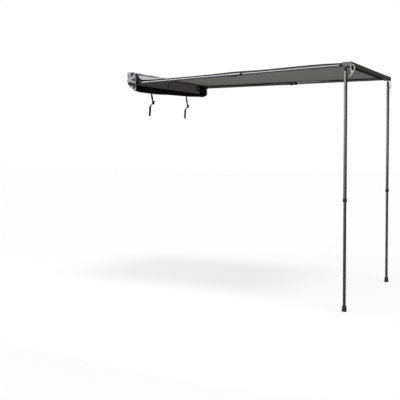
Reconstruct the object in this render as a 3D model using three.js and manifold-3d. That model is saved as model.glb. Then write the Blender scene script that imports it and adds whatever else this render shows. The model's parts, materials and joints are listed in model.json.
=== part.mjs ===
// A vehicle side awning, opened out: rail, bag, two telescopic arms, front beam, two telescopic legs, canopy.
// Millimetres. X runs along the rail, -Y points away from the vehicle and +Z is up.
// The origin is the middle of the rail's rear face.

import * as THREE from 'three';
import { mergeVertices } from 'three/addons/utils/BufferGeometryUtils.js';
import Module from 'manifold-3d';

const wasm = await Module();
wasm.setup();

// Driving dimensions of the whole awning
const legSpread = 1450;
const endOverhang = 25;
const beamReach = 2005;
const railHeightAboveGround = 1944;

// Rail extrusion
const railDepth = 34;
const railTop = 62;
const railLow = 36;
const railWall = 2.5;
const railLip = 4;
const railLipHeight = 5;
const slotMouth = 9.2;
const slotLip = 2.4;
const slotWidth = 17;
const slotDepth = 9.4;
const upperSlotZ = 26;
const lowerSlotZ = -22;

// Beads of cloth and the round channels that hold them
const beadRadius = 3.4;
const beadChannelRadius = 4.2;
const beadMouth = 3.8;
const railBeadZ = 55.5;
const railBeadInset = 7;
const bagChannelRadius = 3.2;
const bagChannelMouth = 3.6;
const bagChannelInset = 8;
const bagChannelRise = 6;

// Front beam extrusion
const beamWidth = 80;
const beamTop = 74;
const beamLow = 40;
const beamWall = 2.4;
const beamInnerRise = 8;
const beamLip = 6;
const beamGroove = 0.8;
const beamBeadZ = 67.4;
const beamBeadInset = 6.6;

// Arms
const armRadius = 11.2;
const armWall = 1.2;
const armInnerRadius = 9.5;
const armInnerWall = 1;
const hingeReach = 62;
const nearHingeZ = -16;
const nearTipZ = 52;
const farHingeZ = 42;
const farTipZ = 54.5;
const armLockStart = 908;
const armOverlap = 114;

// Legs
const legRadius = 14;
const legWall = 1.3;
const legInnerRadius = 12.25;
const legInnerWall = 1.2;
const legStagger = 17.2;
const legPivotDrop = 21;
const legLockZ = -1022;
const legOverlap = 168;

// Cloth
const clothThickness = 1.6;
const bagClothThickness = 2.4;
const webThickness = 1.8;
const webWidth = 25;

// Fits
const clearance = 0.3;
const cutOverrun = 5;

// Finishes
const charcoal = { color: 0x544b46, roughness: 0.55, metalness: 0.5 };
const silver = { color: 0xb9bcc2, roughness: 0.32, metalness: 0.9 };
const blackPlastic = { color: 0x141416, roughness: 0.6, metalness: 0 };
const greyPlastic = { color: 0x6e6e73, roughness: 0.6, metalness: 0 };
const zinc = { color: 0xa9abad, roughness: 0.4, metalness: 0.85 };
const blackSteel = { color: 0x1b1b1d, roughness: 0.5, metalness: 0.6 };
const canopyCloth = { color: 0x6b6c6b, roughness: 0.9, metalness: 0 };
const bagCloth = { color: 0x0d0d0f, roughness: 0.45, metalness: 0 };
const webbing = { color: 0x101012, roughness: 0.85, metalness: 0 };
const creamCord = { color: 0xcfcabb, roughness: 0.9, metalness: 0 };
const greyCord = { color: 0x9a9a98, roughness: 0.9, metalness: 0 };

// Places that several pieces share
const pivotX = legSpread / 2;
const extrusionHalf = pivotX + endOverhang;
const beamInnerY = -beamReach + beamWidth / 2;
const beamOuterY = -beamReach - beamWidth / 2;
const legPivotZ = beamLow - legPivotDrop;
const groundZ = -railHeightAboveGround;
const railBeadY = -railDepth + railBeadInset;
const beamBeadY = beamInnerY - beamBeadInset;
const sides = 20;
const fewSides = 12;
const thinSides = 8;
const hexSides = 6;
const arcSteps = 8;
const fewArcSteps = 5;
const quarterTurn = Math.PI / 2;
const threeQuarterTurn = 1.5 * Math.PI;
const fullTurn = 2 * Math.PI;

const alongX = new THREE.Vector3(1, 0, 0);
const alongY = new THREE.Vector3(0, 1, 0);
const alongZ = new THREE.Vector3(0, 0, 1);
const awning = new THREE.Group();

// A geometry with shared corners merged and collapsed faces dropped.
function welded(geometry) {
  const bare = new THREE.BufferGeometry();
  const source = geometry.index ? geometry.toNonIndexed() : geometry;
  bare.setAttribute('position', source.getAttribute('position').clone());
  const merged = mergeVertices(bare);
  const corners = merged.index.array;
  const kept = [];
  for (let i = 0; i < corners.length; i += 3) {
    const [a, b, c] = [corners[i], corners[i + 1], corners[i + 2]];
    if (a !== b && b !== c && c !== a) kept.push(a, b, c);
  }
  merged.setIndex(kept);
  merged.computeVertexNormals();
  return merged;
}

function solid(geometry) {
  const mesh = welded(geometry);
  const vertProperties = mesh.getAttribute('position').array;
  const triVerts = new Uint32Array(mesh.index.array);
  return new wasm.Manifold(new wasm.Mesh({ numProp: 3, vertProperties, triVerts }));
}

function geometryOf(manifold) {
  const mesh = manifold.getMesh();
  const geometry = new THREE.BufferGeometry();
  geometry.setAttribute('position', new THREE.BufferAttribute(mesh.vertProperties, 3));
  geometry.setIndex(new THREE.BufferAttribute(mesh.triVerts, 1));
  geometry.computeVertexNormals();
  return geometry;
}

function joined(...geometries) {
  return geometryOf(geometries.map(solid).reduce((whole, piece) => whole.add(piece)));
}

function cut(body, ...tools) {
  return geometryOf(tools.map(solid).reduce((whole, tool) => whole.subtract(tool), solid(body)));
}

function addPart(parent, name, geometry, look) {
  const mesh = new THREE.Mesh(welded(geometry), new THREE.MeshStandardMaterial(look));
  mesh.name = name;
  parent.add(mesh);
}

// A group placed in the awning, leaning back about X.
function frameAt(x, y, z, lean = 0) {
  const group = new THREE.Group();
  group.position.set(x, y, z);
  group.rotation.x = -lean;
  awning.add(group);
  return group;
}

function outline(points) {
  return new THREE.Shape(points.map(([a, b]) => new THREE.Vector2(a, b)));
}

// Extrusions of a section drawn in (y, z), (x, z) or (x, y)
function extrudedX(section, fromX, toX, curveSegments = arcSteps) {
  const options = { depth: toX - fromX, bevelEnabled: false, curveSegments };
  const geometry = new THREE.ExtrudeGeometry(section, options);
  geometry.applyMatrix4(new THREE.Matrix4().makeBasis(alongY, alongZ, alongX));
  return geometry.translate(fromX, 0, 0);
}

function extrudedY(section, fromY, toY, curveSegments = arcSteps) {
  const options = { depth: toY - fromY, bevelEnabled: false, curveSegments };
  const geometry = new THREE.ExtrudeGeometry(section, options);
  const outward = alongY.clone().negate();
  geometry.applyMatrix4(new THREE.Matrix4().makeBasis(alongX, alongZ, outward));
  return geometry.translate(0, toY, 0);
}

function extrudedZ(section, fromZ, toZ, curveSegments = arcSteps) {
  const options = { depth: toZ - fromZ, bevelEnabled: false, curveSegments };
  return new THREE.ExtrudeGeometry(section, options).translate(0, 0, fromZ);
}

function box(fromX, toX, fromY, toY, fromZ, toZ) {
  const geometry = new THREE.BoxGeometry(toX - fromX, toY - fromY, toZ - fromZ);
  return geometry.translate((fromX + toX) / 2, (fromY + toY) / 2, (fromZ + toZ) / 2);
}

// Rods along each axis, from one end to the other
function rodZ(radius, fromZ, toZ, count = sides) {
  const geometry = new THREE.CylinderGeometry(radius, radius, toZ - fromZ, count);
  return geometry.rotateX(quarterTurn).translate(0, 0, (fromZ + toZ) / 2);
}

function rodY(radius, fromY, toY, count = sides) {
  const geometry = new THREE.CylinderGeometry(radius, radius, toY - fromY, count);
  return geometry.translate(0, (fromY + toY) / 2, 0);
}

function rodX(radius, fromX, toX, count = sides) {
  const geometry = new THREE.CylinderGeometry(radius, radius, toX - fromX, count);
  return geometry.rotateZ(quarterTurn).translate((fromX + toX) / 2, 0, 0);
}

// A turned piece on the Y axis. Each profile point is (radius, distance out along -Y).
function turnedOut(profile, count = sides) {
  const points = profile.map(([radius, distance]) => new THREE.Vector2(radius, -distance));
  return new THREE.LatheGeometry(points, count);
}

// A turned piece on the Z axis. Each profile point is (radius, depth down along -Z).
function turnedDown(profile, count = sides) {
  return turnedOut(profile, count).rotateX(quarterTurn);
}

function pipeProfile(outer, inner, from, to) {
  return [[inner, from], [inner, to], [outer, to], [outer, from], [inner, from]];
}

// A closed sheet of cloth. middle(a, b) gives its middle surface, and half is half its thickness.
function closedSheet(across, along, middle, half) {
  const positions = [];
  for (const side of [1, -1]) {
    for (let j = 0; j <= along; j += 1) {
      for (let i = 0; i <= across; i += 1) {
        const point = middle(i / across, j / along).addScaledVector(half, side);
        positions.push(point.x, point.y, point.z);
      }
    }
  }
  const row = across + 1;
  const back = row * (along + 1);
  const at = (i, j) => j * row + i;
  const faces = [];
  for (let j = 0; j < along; j += 1) {
    for (let i = 0; i < across; i += 1) {
      const [a, b, c, d] = [at(i, j), at(i + 1, j), at(i + 1, j + 1), at(i, j + 1)];
      faces.push(a, b, c, a, c, d);
      faces.push(back + a, back + c, back + b, back + a, back + d, back + c);
    }
  }
  const rim = [];
  for (let i = 0; i < across; i += 1) rim.push(at(i, 0));
  for (let j = 0; j < along; j += 1) rim.push(at(across, j));
  for (let i = across; i > 0; i -= 1) rim.push(at(i, along));
  for (let j = along; j > 0; j -= 1) rim.push(at(0, j));
  rim.forEach((a, k) => {
    const b = rim[(k + 1) % rim.length];
    faces.push(back + a, back + b, b, back + a, b, a);
  });
  const geometry = new THREE.BufferGeometry();
  geometry.setAttribute('position', new THREE.Float32BufferAttribute(positions, 3));
  geometry.setIndex(faces);
  return geometry;
}

function smooth(value) {
  const t = Math.min(Math.max(value, 0), 1);
  return t * t * (3 - 2 * t);
}

// Rail: a back plate with two bolt slots behind, a bead channel for the canopy and one for the bag
function boltSlot(path, z) {
  path.lineTo(0, z - slotMouth / 2);
  path.lineTo(-slotLip, z - slotMouth / 2);
  path.lineTo(-slotLip, z - slotWidth / 2);
  path.lineTo(-slotDepth, z - slotWidth / 2);
  path.lineTo(-slotDepth, z + slotWidth / 2);
  path.lineTo(-slotLip, z + slotWidth / 2);
  path.lineTo(-slotLip, z + slotMouth / 2);
  path.lineTo(0, z + slotMouth / 2);
}

function railSection() {
  const path = new THREE.Shape();
  const mouthAngle = Math.asin(beadMouth / 2 / beadChannelRadius);
  const bagAngle = Math.asin(bagChannelMouth / 2 / bagChannelRadius);
  const bagY = -railDepth + bagChannelInset;
  const bagZ = -railLow + bagChannelRise;
  path.moveTo(0, -railLow);
  boltSlot(path, lowerSlotZ);
  boltSlot(path, upperSlotZ);
  path.lineTo(0, railTop);
  path.lineTo(-railDepth + railWall, railTop);
  path.absarc(-railDepth + railWall, railTop - railWall, railWall, quarterTurn, Math.PI, false);
  path.lineTo(-railDepth, railBeadZ + beadMouth / 2);
  path.absarc(railBeadY, railBeadZ, beadChannelRadius, Math.PI - mouthAngle, mouthAngle - Math.PI, true);
  path.lineTo(-railDepth, railBeadZ - beadMouth / 2);
  path.lineTo(-railDepth, -railLow + railLipHeight);
  path.lineTo(-railDepth - railLip, -railLow + railLipHeight);
  path.lineTo(-railDepth - railLip, -railLow);
  path.lineTo(bagY - bagChannelMouth / 2, -railLow);
  path.absarc(bagY, bagZ, bagChannelRadius, threeQuarterTurn - bagAngle, bagAngle - quarterTurn, true);
  path.lineTo(bagY + bagChannelMouth / 2, -railLow);
  path.holes.push(...railChambers().map(outline));
  return path;
}

// The hollow chambers of the rail as corner points in (y, z), each drawn in by an inset.
function railChambers(inset = 0) {
  const chamber = (rear, front, low, high) => [
    [rear - inset, low + inset], [rear - inset, high - inset],
    [front + inset, high - inset], [front + inset, low + inset],
  ];
  const middle = -slotDepth - railWall;
  const front = -railDepth + railWall;
  const floor = -railLow + bagChannelRise + bagChannelRadius + railWall;
  const ceiling = railBeadZ - beadChannelRadius - railWall;
  const waist = (upperSlotZ + lowerSlotZ) / 2;
  const besideSlot = slotWidth / 2 + railWall;
  const high = railTop - railWall;
  return [
    chamber(middle, front, floor, waist - railWall / 2),
    chamber(middle, front, waist + railWall / 2, ceiling),
    chamber(middle, railBeadY + beadChannelRadius + railWall, ceiling + railWall, high),
    chamber(-railWall, -slotDepth, lowerSlotZ + besideSlot, upperSlotZ - besideSlot),
    chamber(-railWall, -slotDepth, upperSlotZ + besideSlot, high),
  ];
}

const railCapThickness = 4;
const railCapPlugLength = 14;
const railCapRadius = 5;

function railCapSection() {
  const path = new THREE.Shape();
  const r = railCapRadius;
  path.moveTo(0, -railLow);
  path.lineTo(0, railTop);
  path.lineTo(-railDepth + r, railTop);
  path.absarc(-railDepth + r, railTop - r, r, quarterTurn, Math.PI, false);
  path.lineTo(-railDepth, -railLow);
  return path;
}

function railCap(side) {
  const inner = side * (extrusionHalf + clearance);
  const outer = inner + side * railCapThickness;
  const plugEnd = inner - side * railCapPlugLength;
  const plate = extrudedX(railCapSection(), Math.min(inner, outer), Math.max(inner, outer));
  const reach = inner + side * railCapThickness / 2;
  const plugs = railChambers(clearance).map((chamber) => (
    extrudedX(outline(chamber), Math.min(plugEnd, reach), Math.max(plugEnd, reach))
  ));
  return joined(plate, ...plugs);
}

// Brackets that carry the rail on a rack bar
const rackBracketX = 450;
const rackBracketWidth = 50;
const rackBracketPlate = 5;
const rackBracketTop = 38;
const rackBracketDrop = 43;
const rackFootReach = 66;
const rackFootSlotWidth = 9;
const rackFootSlotLength = 26;
const rackBendRadius = 6;
const boltHoleRadius = 4.5;

function rackBracket(x) {
  const rear = clearance + rackBracketPlate;
  const floor = -rackBracketDrop;
  const bend = rackBendRadius;
  const section = new THREE.Shape();
  section.moveTo(clearance, rackBracketTop);
  section.lineTo(clearance, floor + bend);
  section.absarc(clearance + bend, floor + bend, bend, Math.PI, threeQuarterTurn, false);
  section.lineTo(rackFootReach, floor);
  section.lineTo(rackFootReach, floor + rackBracketPlate);
  section.lineTo(rear + bend, floor + rackBracketPlate);
  section.absarc(rear + bend, floor + rackBracketPlate + bend, bend, threeQuarterTurn, Math.PI, true);
  section.lineTo(rear, rackBracketTop);
  const body = extrudedX(section, x - rackBracketWidth / 2, x + rackBracketWidth / 2, 3);
  const holes = [upperSlotZ, lowerSlotZ].map((z) => (
    rodY(boltHoleRadius, -cutOverrun, rear + cutOverrun, fewSides).translate(x, 0, z)
  ));
  const slotY = (rear + rackFootReach) / 2;
  const half = rackFootSlotLength / 2 - rackFootSlotWidth / 2;
  const shape = new THREE.Shape();
  shape.absarc(x, slotY + half, rackFootSlotWidth / 2, 0, Math.PI, false);
  shape.absarc(x, slotY - half, rackFootSlotWidth / 2, Math.PI, fullTurn, false);
  const slot = extrudedZ(shape, floor - cutOverrun, floor + rackBracketPlate + cutOverrun, 4);
  return cut(body, ...holes, slot);
}

const boltRadius = 4;
const boltHead = 16;
const boltHeadThickness = 5.6;
const boltLength = 19;
const nutRadius = 7.5;
const nutThickness = 6.5;
const washerRadius = 8.5;
const washerThickness = 1.6;

function rackBolt(x, z) {
  const headFront = -slotDepth + (slotDepth - slotLip - boltHeadThickness) / 2;
  const headRear = headFront + boltHeadThickness;
  const seat = clearance + rackBracketPlate + clearance;
  const half = boltHead / 2;
  const head = box(-half, half, headFront, headRear, -half, half);
  const shank = rodY(boltRadius, headFront + boltHeadThickness / 2, boltLength, fewSides);
  const washer = rodY(washerRadius, seat, seat + washerThickness, fewSides);
  const nut = rodY(nutRadius, seat + washerThickness / 2, seat + washerThickness + nutThickness, hexSides);
  return joined(head, shank, washer, nut).translate(x, 0, z);
}

// Arm hinge: a clevis on the rail, a pin, and the eye on the arm
const eyeRadius = 9;
const eyeHalfHeight = 8;
const earThickness = 3.5;
const earRadius = 9.5;
const earRootHalf = 13;
const hingePinRadius = 4;
const hingePinHead = 6;
const hingePinHeadThickness = 1.6;
const clevisPlate = 4;
const clevisPlateHalf = 24;
const nearClevisTop = 22;
const nearClevisDrop = 14;
const farClevisTop = 11.4;
const farClevisDrop = 20;

function armLean(hingeZ, tipZ) {
  return Math.atan2(tipZ - hingeZ, -beamInnerY - hingeReach);
}

function clevisEar(lean, x, z, low) {
  const rootY = hingeReach - railDepth - clearance - clevisPlate / 2;
  const shape = new THREE.Shape();
  shape.moveTo(earRootHalf, rootY);
  shape.lineTo(-earRootHalf, rootY);
  shape.lineTo(-earRadius, 0);
  shape.absarc(0, 0, earRadius, Math.PI, fullTurn, false);
  const hole = new THREE.Path();
  hole.absarc(0, 0, hingePinRadius + clearance, 0, fullTurn, true);
  shape.holes.push(hole);
  const ear = extrudedZ(shape, low, low + earThickness, arcSteps);
  return ear.rotateX(-lean).translate(x, -hingeReach, z);
}

function armClevis(x, z, lean, top, drop) {
  const face = -railDepth - clearance;
  const gap = eyeHalfHeight + clearance;
  const plate = box(x - clevisPlateHalf, x + clevisPlateHalf, face - clevisPlate, face, z - drop, z + top);
  const upper = clevisEar(lean, x, z, gap);
  const lower = clevisEar(lean, x, z, -gap - earThickness);
  return joined(plate, upper, lower);
}

function hingePin() {
  const seat = eyeHalfHeight + earThickness + 2 * clearance;
  const reach = seat + hingePinHeadThickness / 2;
  const shaft = rodZ(hingePinRadius, -reach, reach, fewSides);
  const upper = rodZ(hingePinHead, seat, seat + hingePinHeadThickness, fewSides);
  const lower = rodZ(hingePinHead, -seat - hingePinHeadThickness, -seat, fewSides);
  return joined(shaft, upper, lower);
}

const neckHalf = 6.5;
const shoulderStart = 19;
const tubeStart = 24;
const knucklePlug = 22;

function armKnuckle() {
  const eye = rodZ(eyeRadius, -eyeHalfHeight, eyeHalfHeight);
  const neck = box(-neckHalf, neckHalf, -shoulderStart - clearance, 0, -neckHalf, neckHalf);
  const shoulder = rodY(armRadius, -tubeStart, -shoulderStart);
  const plug = rodY(armRadius - armWall - clearance, -tubeStart - knucklePlug, -tubeStart + clearance);
  const bore = rodZ(hingePinRadius + clearance, -eyeRadius - cutOverrun, eyeRadius + cutOverrun, fewSides);
  return cut(joined(eye, neck, shoulder, plug), bore);
}

// Twist lock: a split sleeve on the end of the outer tube and a fluted nut that squeezes its fingers
const lockFlangeLength = 8;
const lockBodyLength = 90;
const lockSocketLength = 66;
const lockStubLength = 15;
const lockBodyRadius = 12.8;
const lockFlangeRadius = 14.4;
const lockStubRadius = 11.6;
const lockNutRadius = 15.8;
const lockNutLength = 20;
const fluteCount = 10;
const fluteRadius = 1.8;
const slitWidth = 1.4;
const slitCount = 4;

// Slits that split the end of a turned piece on the Y axis into fingers.
function slits(radius, from, to) {
  const cuts = [];
  for (let i = 0; i < slitCount / 2; i += 1) {
    const blade = box(-slitWidth / 2, slitWidth / 2, -to, -from, -radius, radius);
    cuts.push(blade.rotateY(i * fullTurn / slitCount));
  }
  return cuts;
}

function armLockSleeve() {
  const start = armLockStart;
  const bodyEnd = start + lockFlangeLength + lockBodyLength;
  const stubEnd = bodyEnd + lockStubLength;
  const socketEnd = start + lockSocketLength + clearance;
  const socket = armRadius + clearance;
  const guide = armInnerRadius + clearance;
  const profile = [
    [socket, start], [lockFlangeRadius, start], [lockFlangeRadius, start + lockFlangeLength],
    [lockBodyRadius, start + lockFlangeLength], [lockBodyRadius, bodyEnd], [lockStubRadius, bodyEnd],
    [lockStubRadius, stubEnd], [guide, stubEnd], [guide, socketEnd], [socket, socketEnd], [socket, start],
  ].reverse();
  const fingers = slits(lockStubRadius + clearance, stubEnd - lockStubLength / 2, stubEnd + cutOverrun);
  return cut(turnedOut(profile), ...fingers);
}

// A fluted nut on the Y axis that covers a stub and leaves a narrow way out for the tube.
function lockNut(outer, length, stub, stubLength, tube) {
  const body = rodY(outer, -length, 0);
  const flutes = [];
  for (let i = 0; i < fluteCount; i += 1) {
    const flute = rodY(fluteRadius, -length - cutOverrun, cutOverrun, hexSides).translate(outer, 0, 0);
    flutes.push(flute.rotateY(i * fullTurn / fluteCount));
  }
  const wide = rodY(stub + clearance, -stubLength - clearance, cutOverrun);
  const narrow = rodY(tube + clearance + clearance / 2, -length - cutOverrun, cutOverrun);
  return cut(body, ...flutes, wide, narrow);
}

function armLockNut() {
  const start = armLockStart + lockFlangeLength + lockBodyLength + clearance;
  const nut = lockNut(lockNutRadius, lockNutLength, lockStubRadius, lockStubLength, armInnerRadius);
  return nut.translate(0, -start, 0);
}

const bushHead = 9.7;
const bushPlug = 20;

// A bush that plugs the inner end of a sliding tube and centres it in the outer one.
function guideBush(outerBore, innerTube, innerWall) {
  const head = rodY(outerBore - clearance, 0, bushHead);
  const plug = rodY(innerTube - innerWall - clearance, -bushPlug, bushHead / 2);
  return joined(head, plug);
}

const tipHeadRadius = 9.8;
const tipHeadLength = 28;
const tipPlug = 22;
const tipNotchWidth = 6;
const tipNotchDepth = 9;

// Distance from the hinge to the tip face, so that its furthest edge stops short of the corner cap.
function tipDistance(lean) {
  const room = -beamInnerY - clearance - hingeReach;
  return (room - tipHeadRadius * Math.sin(lean)) / Math.cos(lean);
}

function armTip(end) {
  const seat = end - tipHeadLength;
  const head = rodY(tipHeadRadius, -end, -seat);
  const plug = rodY(armInnerRadius - armInnerWall - clearance, -seat - clearance, -seat + tipPlug);
  const half = tipNotchWidth / 2;
  const reach = tipHeadRadius + cutOverrun;
  const notch = box(-half, half, -end - cutOverrun, -end + tipNotchDepth, -reach, reach);
  return cut(joined(head, plug), notch);
}

function addArm(side, x, hingeZ, tipZ, clevisTop, clevisDrop) {
  const lean = armLean(hingeZ, tipZ);
  const frame = frameAt(x, -hingeReach, hingeZ, lean);
  const tubeEnd = armLockStart + lockSocketLength;
  const end = tipDistance(lean);
  const innerStart = tubeEnd - armOverlap;
  const innerEnd = end - tipHeadLength - clearance;
  const outerPipe = pipeProfile(armRadius, armRadius - armWall, tubeStart + clearance, tubeEnd);
  const innerPipe = pipeProfile(armInnerRadius, armInnerRadius - armInnerWall, innerStart, innerEnd);
  const bush = guideBush(armRadius - armWall, armInnerRadius, armInnerWall);
  addPart(awning, `${side}_arm_clevis`, armClevis(x, hingeZ, lean, clevisTop, clevisDrop), blackSteel);
  addPart(frame, `${side}_arm_pin`, hingePin(), zinc);
  addPart(frame, `${side}_arm_knuckle`, armKnuckle(), blackPlastic);
  addPart(frame, `${side}_arm_outer_tube`, turnedOut(outerPipe), silver);
  addPart(frame, `${side}_arm_lock_sleeve`, armLockSleeve(), silver);
  addPart(frame, `${side}_arm_lock_nut`, armLockNut(), blackPlastic);
  addPart(frame, `${side}_arm_guide_bush`, bush.translate(0, -innerStart + clearance, 0), blackPlastic);
  addPart(frame, `${side}_arm_inner_tube`, turnedOut(innerPipe), silver);
  addPart(frame, `${side}_arm_tip`, armTip(end), blackPlastic);
}

// Front beam: an open channel with a bead groove towards the canopy
function beamSection() {
  const inner = beamInnerY;
  const outer = beamOuterY;
  const lip = beamLip;
  const ceiling = beamTop - beamWall;
  const bossY = beamBeadY - beadChannelRadius - beamWall;
  const bossZ = beamBeadZ - beadChannelRadius - beamWall;
  const angle = Math.asin(beadMouth / 2 / beadChannelRadius);
  const path = new THREE.Shape();
  path.moveTo(inner, beamLow + beamInnerRise);
  path.lineTo(inner, beamBeadZ - beadMouth / 2);
  path.absarc(beamBeadY, beamBeadZ, beadChannelRadius, -angle, angle, true);
  path.lineTo(inner, beamBeadZ + beadMouth / 2);
  path.lineTo(inner, beamTop);
  path.lineTo(outer, beamTop);
  path.lineTo(outer, ceiling);
  path.lineTo(outer + beamGroove, ceiling);
  path.lineTo(outer + beamGroove, ceiling - beamWall);
  path.lineTo(outer, ceiling - beamWall);
  path.lineTo(outer, beamLow);
  path.lineTo(outer + lip, beamLow);
  path.lineTo(outer + lip, beamLow + beamWall);
  path.lineTo(outer + beamWall, beamLow + beamWall);
  path.lineTo(outer + beamWall, ceiling);
  path.lineTo(bossY, ceiling);
  path.lineTo(bossY, bossZ);
  path.lineTo(inner - beamWall, bossZ);
  path.lineTo(inner - beamWall, beamLow + beamInnerRise);
  return path;
}

// Corner caps: an end plate, a block inside the beam, and a lug that carries the leg
const capPlate = 8;
const capBlockLength = 42;
const capBlockRise = 5;
const capChamfer = 16;
const capToe = 12;
const capToeRise = 2;
const capPegRadius = 2.6;
const capPegHeight = 9;
const lugRadius = 9;
const lugThickness = 8;
const legPinRadius = 3;
const cordHoleRadius = 2.8;
const cordHoleDepth = 4;
const capCordInset = 6;
const capCordZ = 50;

function capPlateSection() {
  return outline([
    [beamOuterY, beamLow], [beamInnerY - capToe, beamLow + capToeRise], [beamInnerY, beamLow + capToe],
    [beamInnerY, beamTop - capChamfer], [beamInnerY - capChamfer, beamTop], [beamOuterY, beamTop],
  ]);
}

function lugSection(x) {
  const shape = new THREE.Shape();
  shape.moveTo(x + lugRadius, beamLow + 2 * capBlockRise);
  shape.lineTo(x - lugRadius, beamLow + 2 * capBlockRise);
  shape.lineTo(x - lugRadius, legPivotZ);
  shape.absarc(x, legPivotZ, lugRadius, Math.PI, fullTurn, false);
  return shape;
}

function cornerCap(side, legY) {
  const inner = side * (extrusionHalf + clearance);
  const outer = inner + side * capPlate;
  const blockEnd = inner - side * capBlockLength;
  const reach = inner + side * capPlate / 2;
  const x = side * pivotX;
  const blockFront = beamOuterY + beamWall + clearance;
  const blockRear = beamBeadY - beadChannelRadius - beamWall - clearance;
  const low = beamLow + capBlockRise;
  const high = beamTop - beamWall - clearance;
  const plate = extrudedX(capPlateSection(), Math.min(inner, outer), Math.max(inner, outer));
  const block = box(Math.min(blockEnd, reach), Math.max(blockEnd, reach), blockFront, blockRear, low, high);
  const lug = extrudedY(lugSection(x), legY - lugThickness / 2, legY + lugThickness / 2, fewArcSteps);
  const pegY = beamOuterY + capCordInset;
  const peg = rodZ(capPegRadius, beamTop - capPegRadius, beamTop + capPegHeight, thinSides);
  const pinHole = rodY(legPinRadius + clearance, legY - lugThickness, legY + lugThickness, fewSides);
  const holeEnd = outer - side * cordHoleDepth;
  const holeStart = outer + side * cutOverrun;
  const [holeLow, holeHigh] = [Math.min(holeEnd, holeStart), Math.max(holeEnd, holeStart)];
  const sideHole = rodX(cordHoleRadius, holeLow, holeHigh, thinSides);
  const frontHole = rodY(cordHoleRadius, -cutOverrun, cordHoleDepth, thinSides);
  return cut(
    joined(plate, block, lug, peg.translate(reach, pegY, 0)),
    pinHole.translate(x, 0, legPivotZ),
    sideHole.translate(0, beamOuterY + capCordInset, capCordZ),
    frontHole.translate(reach, beamOuterY, capCordZ),
  );
}

// Legs
const forkEar = 5;
const forkRadius = 9;
const forkShoulder = 3;
const forkPlug = 28;
const legPinHead = 4.8;
const legPinHeadThickness = 1.8;
const collarHeadLength = 12;
const collarStep = 1.8;
const collarRadius = 17;
const collarStubLength = 11;
const collarStubRadius = 13.9;
const legNutRadius = 17.6;
const legNutLength = 17;
const footHeight = 49;
const footTopRadius = 14.2;
const footShoulder = 10;
const footShoulderRadius = 18;
const footBaseRadius = 20.4;
const footSole = 10;

const forkInner = lugThickness / 2 + clearance;
const forkOuter = forkInner + forkEar;
const forkFloor = lugRadius + 2 * clearance;
const legTubeTop = forkFloor + forkShoulder + clearance;

function legFork() {
  const ear = new THREE.Shape();
  ear.moveTo(forkRadius, -forkFloor - forkShoulder / 2);
  ear.lineTo(forkRadius, 0);
  ear.absarc(0, 0, forkRadius, 0, Math.PI, false);
  ear.lineTo(-forkRadius, -forkFloor - forkShoulder / 2);
  const front = extrudedY(ear, -forkOuter, -forkInner, fewArcSteps);
  const rear = extrudedY(ear, forkInner, forkOuter, fewArcSteps);
  const shoulderEnd = forkFloor + forkShoulder;
  const plugRadius = legRadius - legWall - clearance;
  const plugEnd = shoulderEnd + forkPlug;
  const body = turnedDown([
    [0, forkFloor], [legRadius - forkShoulder / 2, forkFloor], [legRadius, forkFloor + forkShoulder / 2],
    [legRadius, shoulderEnd], [plugRadius, shoulderEnd], [plugRadius, plugEnd], [0, plugEnd],
  ].reverse());
  const hole = rodY(legPinRadius + clearance, -forkOuter - cutOverrun, forkOuter + cutOverrun, fewSides);
  return cut(joined(front, rear, body), hole);
}

function legPin() {
  const seat = forkOuter + clearance;
  const reach = seat + legPinHeadThickness / 2;
  const shaft = rodY(legPinRadius, -reach, reach, fewSides);
  const front = rodY(legPinHead, -seat - legPinHeadThickness, -seat, fewSides);
  const rear = rodY(legPinHead, seat, seat + legPinHeadThickness, fewSides);
  return joined(shaft, front, rear);
}

function legLockSleeve(start) {
  const headEnd = start + collarHeadLength;
  const stubEnd = headEnd + collarStubLength;
  const socketEnd = headEnd - collarStep;
  const socket = legRadius + clearance;
  const guide = legInnerRadius + clearance;
  const profile = [
    [socket, start], [collarRadius - collarStep, start], [collarRadius, start + collarHeadLength / 3],
    [collarRadius, headEnd], [collarStubRadius, headEnd],
    [collarStubRadius, stubEnd], [guide, stubEnd], [guide, socketEnd], [socket, socketEnd], [socket, start],
  ].reverse();
  const cuts = slits(collarRadius, headEnd + collarStubLength / 3, stubEnd + cutOverrun);
  return cut(turnedDown(profile), ...cuts.map((blade) => blade.rotateX(quarterTurn)));
}

function legLockNut(start) {
  const nut = lockNut(legNutRadius, legNutLength, collarStubRadius, collarStubLength, legInnerRadius);
  return nut.rotateX(quarterTurn).translate(0, 0, -start - collarHeadLength - clearance);
}

function legFoot(ground) {
  const top = ground - footHeight;
  const socket = legInnerRadius + clearance;
  const bevel = footSole / 3;
  const sole = ground - footSole;
  return turnedDown([
    [0, sole], [socket, sole], [socket, top], [footTopRadius, top],
    [(footTopRadius + footShoulderRadius) / 2, top + footShoulder / 5],
    [footShoulderRadius, top + footShoulder], [footBaseRadius, ground - bevel],
    [footBaseRadius - bevel / 2, ground],
    [0, ground],
  ].reverse());
}

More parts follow.
